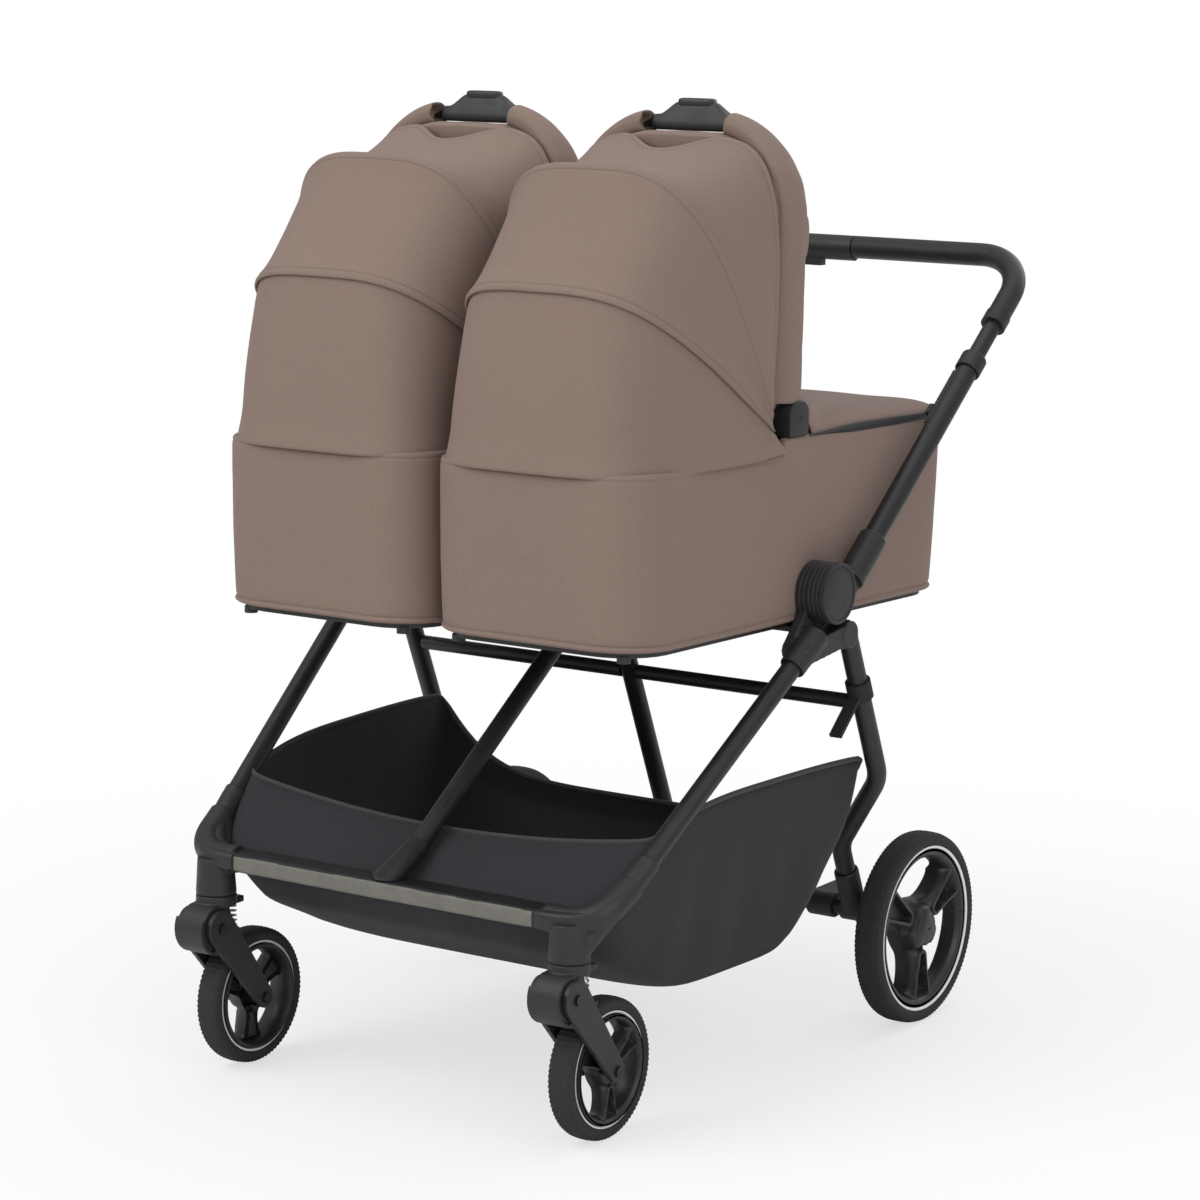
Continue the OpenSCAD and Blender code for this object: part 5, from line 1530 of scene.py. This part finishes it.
def hinge_block(side, hand):
    """A hinge block: round-topped, with bevelled edges and a screw in its outer face."""
    bm = bmesh.new()
    x0, x1, y, z = 148, 175, -49, 272
    outline = [(-23, -23.5), (23, -23.5), (23, 5)]
    for centre, start, first in ((5, 0, 1), (-5, math.pi / 2, 0)):
        turns = [start + k * math.pi / 16 for k in range(first, 9)]
        outline += [(centre + 18 * math.cos(a), 5 + 18 * math.sin(a)) for a in turns]
    verts = [bm.verts.new(at_cot(side, (hand * x0, y + p, z + q))) for p, q in outline]
    face = bm.faces.new(verts)
    out = bmesh.ops.extrude_face_region(bm, geom=[face])
    for v in out["geom"]:
        if isinstance(v, bmesh.types.BMVert):
            v.co.x += hand * (x1 - x0) * MM
    bmesh.ops.recalc_face_normals(bm, faces=bm.faces)
    edges = [e for e in bm.edges if len(e.link_faces) == 2 and e.calc_face_angle() > 0.6]
    bmesh.ops.bevel(bm, geom=edges, offset=1.6 * MM, offset_type="OFFSET", segments=3, profile=0.5, affect="EDGES",
                    material=-1)
    eye = at_cot(side, (hand * x1, y, z + 1))
    screw = [(-0.0012, 0.0), (-0.0012, 0.0026), (0.0005, 0.0031), (0.0008, 0.0056), (0, 0.0064), (-0.0012, 0.0068)]
    parts = [bm, turned(eye, [(hand * x, r) for x, r in screw], 32)]
    for dz in (-12, 12):
        pin = at_cot(side, (hand * (x0 + x1) / 2, y - 23, z + dz - 3)) + Vector((0, -0.3 * MM, 0))
        dot = bmesh.new()
        bmesh.ops.create_circle(dot, cap_ends=True, radius=2.6 * MM, segments=24,
                                matrix=Matrix.Translation(pin) @ Matrix.Rotation(math.pi / 2, 4, "X"))
        parts.append(dot)
    return joined(parts)


class PRAM_OT_hinges(bpy.types.Operator):
    """Hinge blocks of the hoods with their screws"""

    bl_idname = "pram.hinges"
    bl_label = "Hinge blocks"

    def execute(self, context):
        mats = finishes()
        for side in SIDES:
            bm = joined([hinge_block(side, hand) for hand in (-1, 1)])
            obj = piece("hinge_covers_" + side, bm, mats["plastic"], "cot_" + side, 40)
            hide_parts("hinge_blocks_" + side)
        return {"FINISHED"}


# Stage


class PRAM_OT_stage(bpy.types.Operator):
    """Pale floor, soft studio light and the camera at the photograph's viewing angle"""

    bl_idname = "pram.stage"
    bl_label = "Stage"

    def execute(self, context):
        scene = context.scene
        scene.view_settings.view_transform = "Standard"
        # Camera turned 34.9 degrees to the right and 10.5 degrees above level
        a, e = math.radians(34.94), math.radians(10.45)
        right = Vector((math.cos(a), math.sin(a), 0))
        look = Vector((-math.sin(a) * math.cos(e), math.cos(a) * math.cos(e), -math.sin(e)))
        up = right.cross(look)
        place = Matrix((right, up, -look)).transposed().to_4x4()
        place.translation = at_frame((2959.0, -3816.2, 1561.3))
        camera = bpy.data.cameras.new("camera")
        camera.sensor_width = 36
        camera.lens = 3785.06 / 1200 * 36
        camera.clip_end = 60
        obj = bpy.data.objects.new("camera", camera)
        obj.matrix_world = place
        scene.collection.objects.link(obj)
        scene.camera = obj
        for name, power, size, at, to in (
            ("key", 124, 3.2, (-1.7, -3.4, 3.8), (0, 0, 0.6)),
            ("fill", 58, 3.0, (3.6, -2.0, 2.4), (0, 0, 0.6)),
            ("top", 48, 3.6, (0.2, 0.6, 4.2), (0, 0, 0.4)),
            ("back", 45, 3.0, (0.5, 4.2, 2.6), (0, 0, 0.7)),
        ):
            lamp = bpy.data.lights.new(name, "AREA")
            lamp.energy = power
            lamp.size = size
            rig = bpy.data.objects.new(name, lamp)
            rig.location = at
            rig.rotation_euler = (Vector(to) - Vector(at)).to_track_quat("-Z", "Y").to_euler()
            scene.collection.objects.link(rig)
        world = bpy.data.worlds.new("studio")
        scene.world = world
        world.use_nodes = True
        tree = world.node_tree
        tree.nodes.clear()
        soft = add(tree, "ShaderNodeBackground", {"Color": (0.95, 0.97, 1.0, 1), "Strength": 0.42})
        white = add(tree, "ShaderNodeBackground", {"Color": (1, 1, 1, 1), "Strength": 1.0})
        path = add(tree, "ShaderNodeLightPath")
        seen = add(tree, "ShaderNodeMath", {"operation": "ADD", "use_clamp": True},
                   {0: path.outputs["Is Camera Ray"], 1: path.outputs["Is Transmission Ray"]})
        both = add(tree, "ShaderNodeMixShader", None, {0: seen.outputs[0], 1: soft.outputs[0], 2: white.outputs[0]})
        add(tree, "ShaderNodeOutputWorld", None, {"Surface": both.outputs[0]})
        bm = bmesh.new()
        bmesh.ops.create_circle(bm, cap_ends=True, radius=14.0, segments=96)
        mesh = bpy.data.meshes.new("floor")
        bm.to_mesh(mesh)
        bm.free()
        floor = bpy.data.objects.new("floor", mesh)
        scene.collection.objects.link(floor)
        mat, tree, shader, at = surface("Studio floor paper", {"Base Color": tuple(scene.pram_colours.floor),
                                                               "Roughness": 0.9, "Specular IOR Level": 0.1})
        # The paper fades to plain white away from the pram
        away = add(tree, "ShaderNodeVectorMath", {"operation": "LENGTH"}, {0: at["Object"]["Vector"]})
        fade = add(tree, "ShaderNodeMapRange", {"From Min": 0.5, "From Max": 1.9, "To Min": 0.66, "To Max": 1.0,
                                                "interpolation_type": "SMOOTHSTEP"},
                   {"Value": away.outputs["Value"]})
        path = add(tree, "ShaderNodeLightPath")
        share = add(tree, "ShaderNodeMath", {"operation": "MULTIPLY"},
                    {0: fade.outputs[0], 1: path.outputs["Is Camera Ray"]})
        glow = add(tree, "ShaderNodeEmission", {"Color": (1, 1, 1, 1), "Strength": 1.0})
        out = [n for n in tree.nodes if n.type == "OUTPUT_MATERIAL"][0]
        mix = add(tree, "ShaderNodeMixShader", None, {0: share.outputs[0], 1: shader.outputs[0], 2: glow.outputs[0]})
        tree.links.new(mix.outputs[0], out.inputs["Surface"])
        mesh.materials.append(mat)
        return {"FINISHED"}


class PRAM_PT_panel(bpy.types.Panel):
    """The pram's pieces and sizes"""

    bl_idname = "PRAM_PT_panel"
    bl_label = "Twin Pram"
    bl_space_type = "VIEW_3D"
    bl_region_type = "UI"
    bl_category = "Twin Pram"

    def draw(self, context):
        layout = self.layout
        for cls in STEPS:
            layout.operator(cls.bl_idname)
        for name in GROUPS:
            box = layout.box()
            for key in getattr(context.scene, name).__annotations__:
                box.prop(getattr(context.scene, name), key)


GROUPS = {
    "pram_colours": PramColours,
    "pram_cot": PramCotSizes,
    "pram_hood": PramHoodSizes,
    "pram_basket": PramBasketSizes,
    "pram_wheels": PramWheelSizes,
}
STEPS = (
    PRAM_OT_stage,
    PRAM_OT_frame_finish,
    PRAM_OT_cots,
    PRAM_OT_mattresses,
    PRAM_OT_hoods,
    PRAM_OT_sleeves,
    PRAM_OT_aprons,
    PRAM_OT_basket,
    PRAM_OT_bar_pad,
    PRAM_OT_wheels,
    PRAM_OT_mouldings,
    PRAM_OT_hub_drums,
    PRAM_OT_grips,
    PRAM_OT_hinges,
)


def register():
    for cls in (*GROUPS.values(), *STEPS, PRAM_PT_panel):
        bpy.utils.register_class(cls)
    for name, cls in GROUPS.items():
        setattr(bpy.types.Scene, name, PointerProperty(type=cls))


def unregister():
    for name in GROUPS:
        delattr(bpy.types.Scene, name)
    for cls in (PRAM_PT_panel, *reversed(STEPS), *reversed(tuple(GROUPS.values()))):
        bpy.utils.unregister_class(cls)


def main():
    register()
    for cls in STEPS:
        family, name = cls.bl_idname.split(".")
        getattr(getattr(bpy.ops, family), name)()


if __name__ == "__main__":
    main()
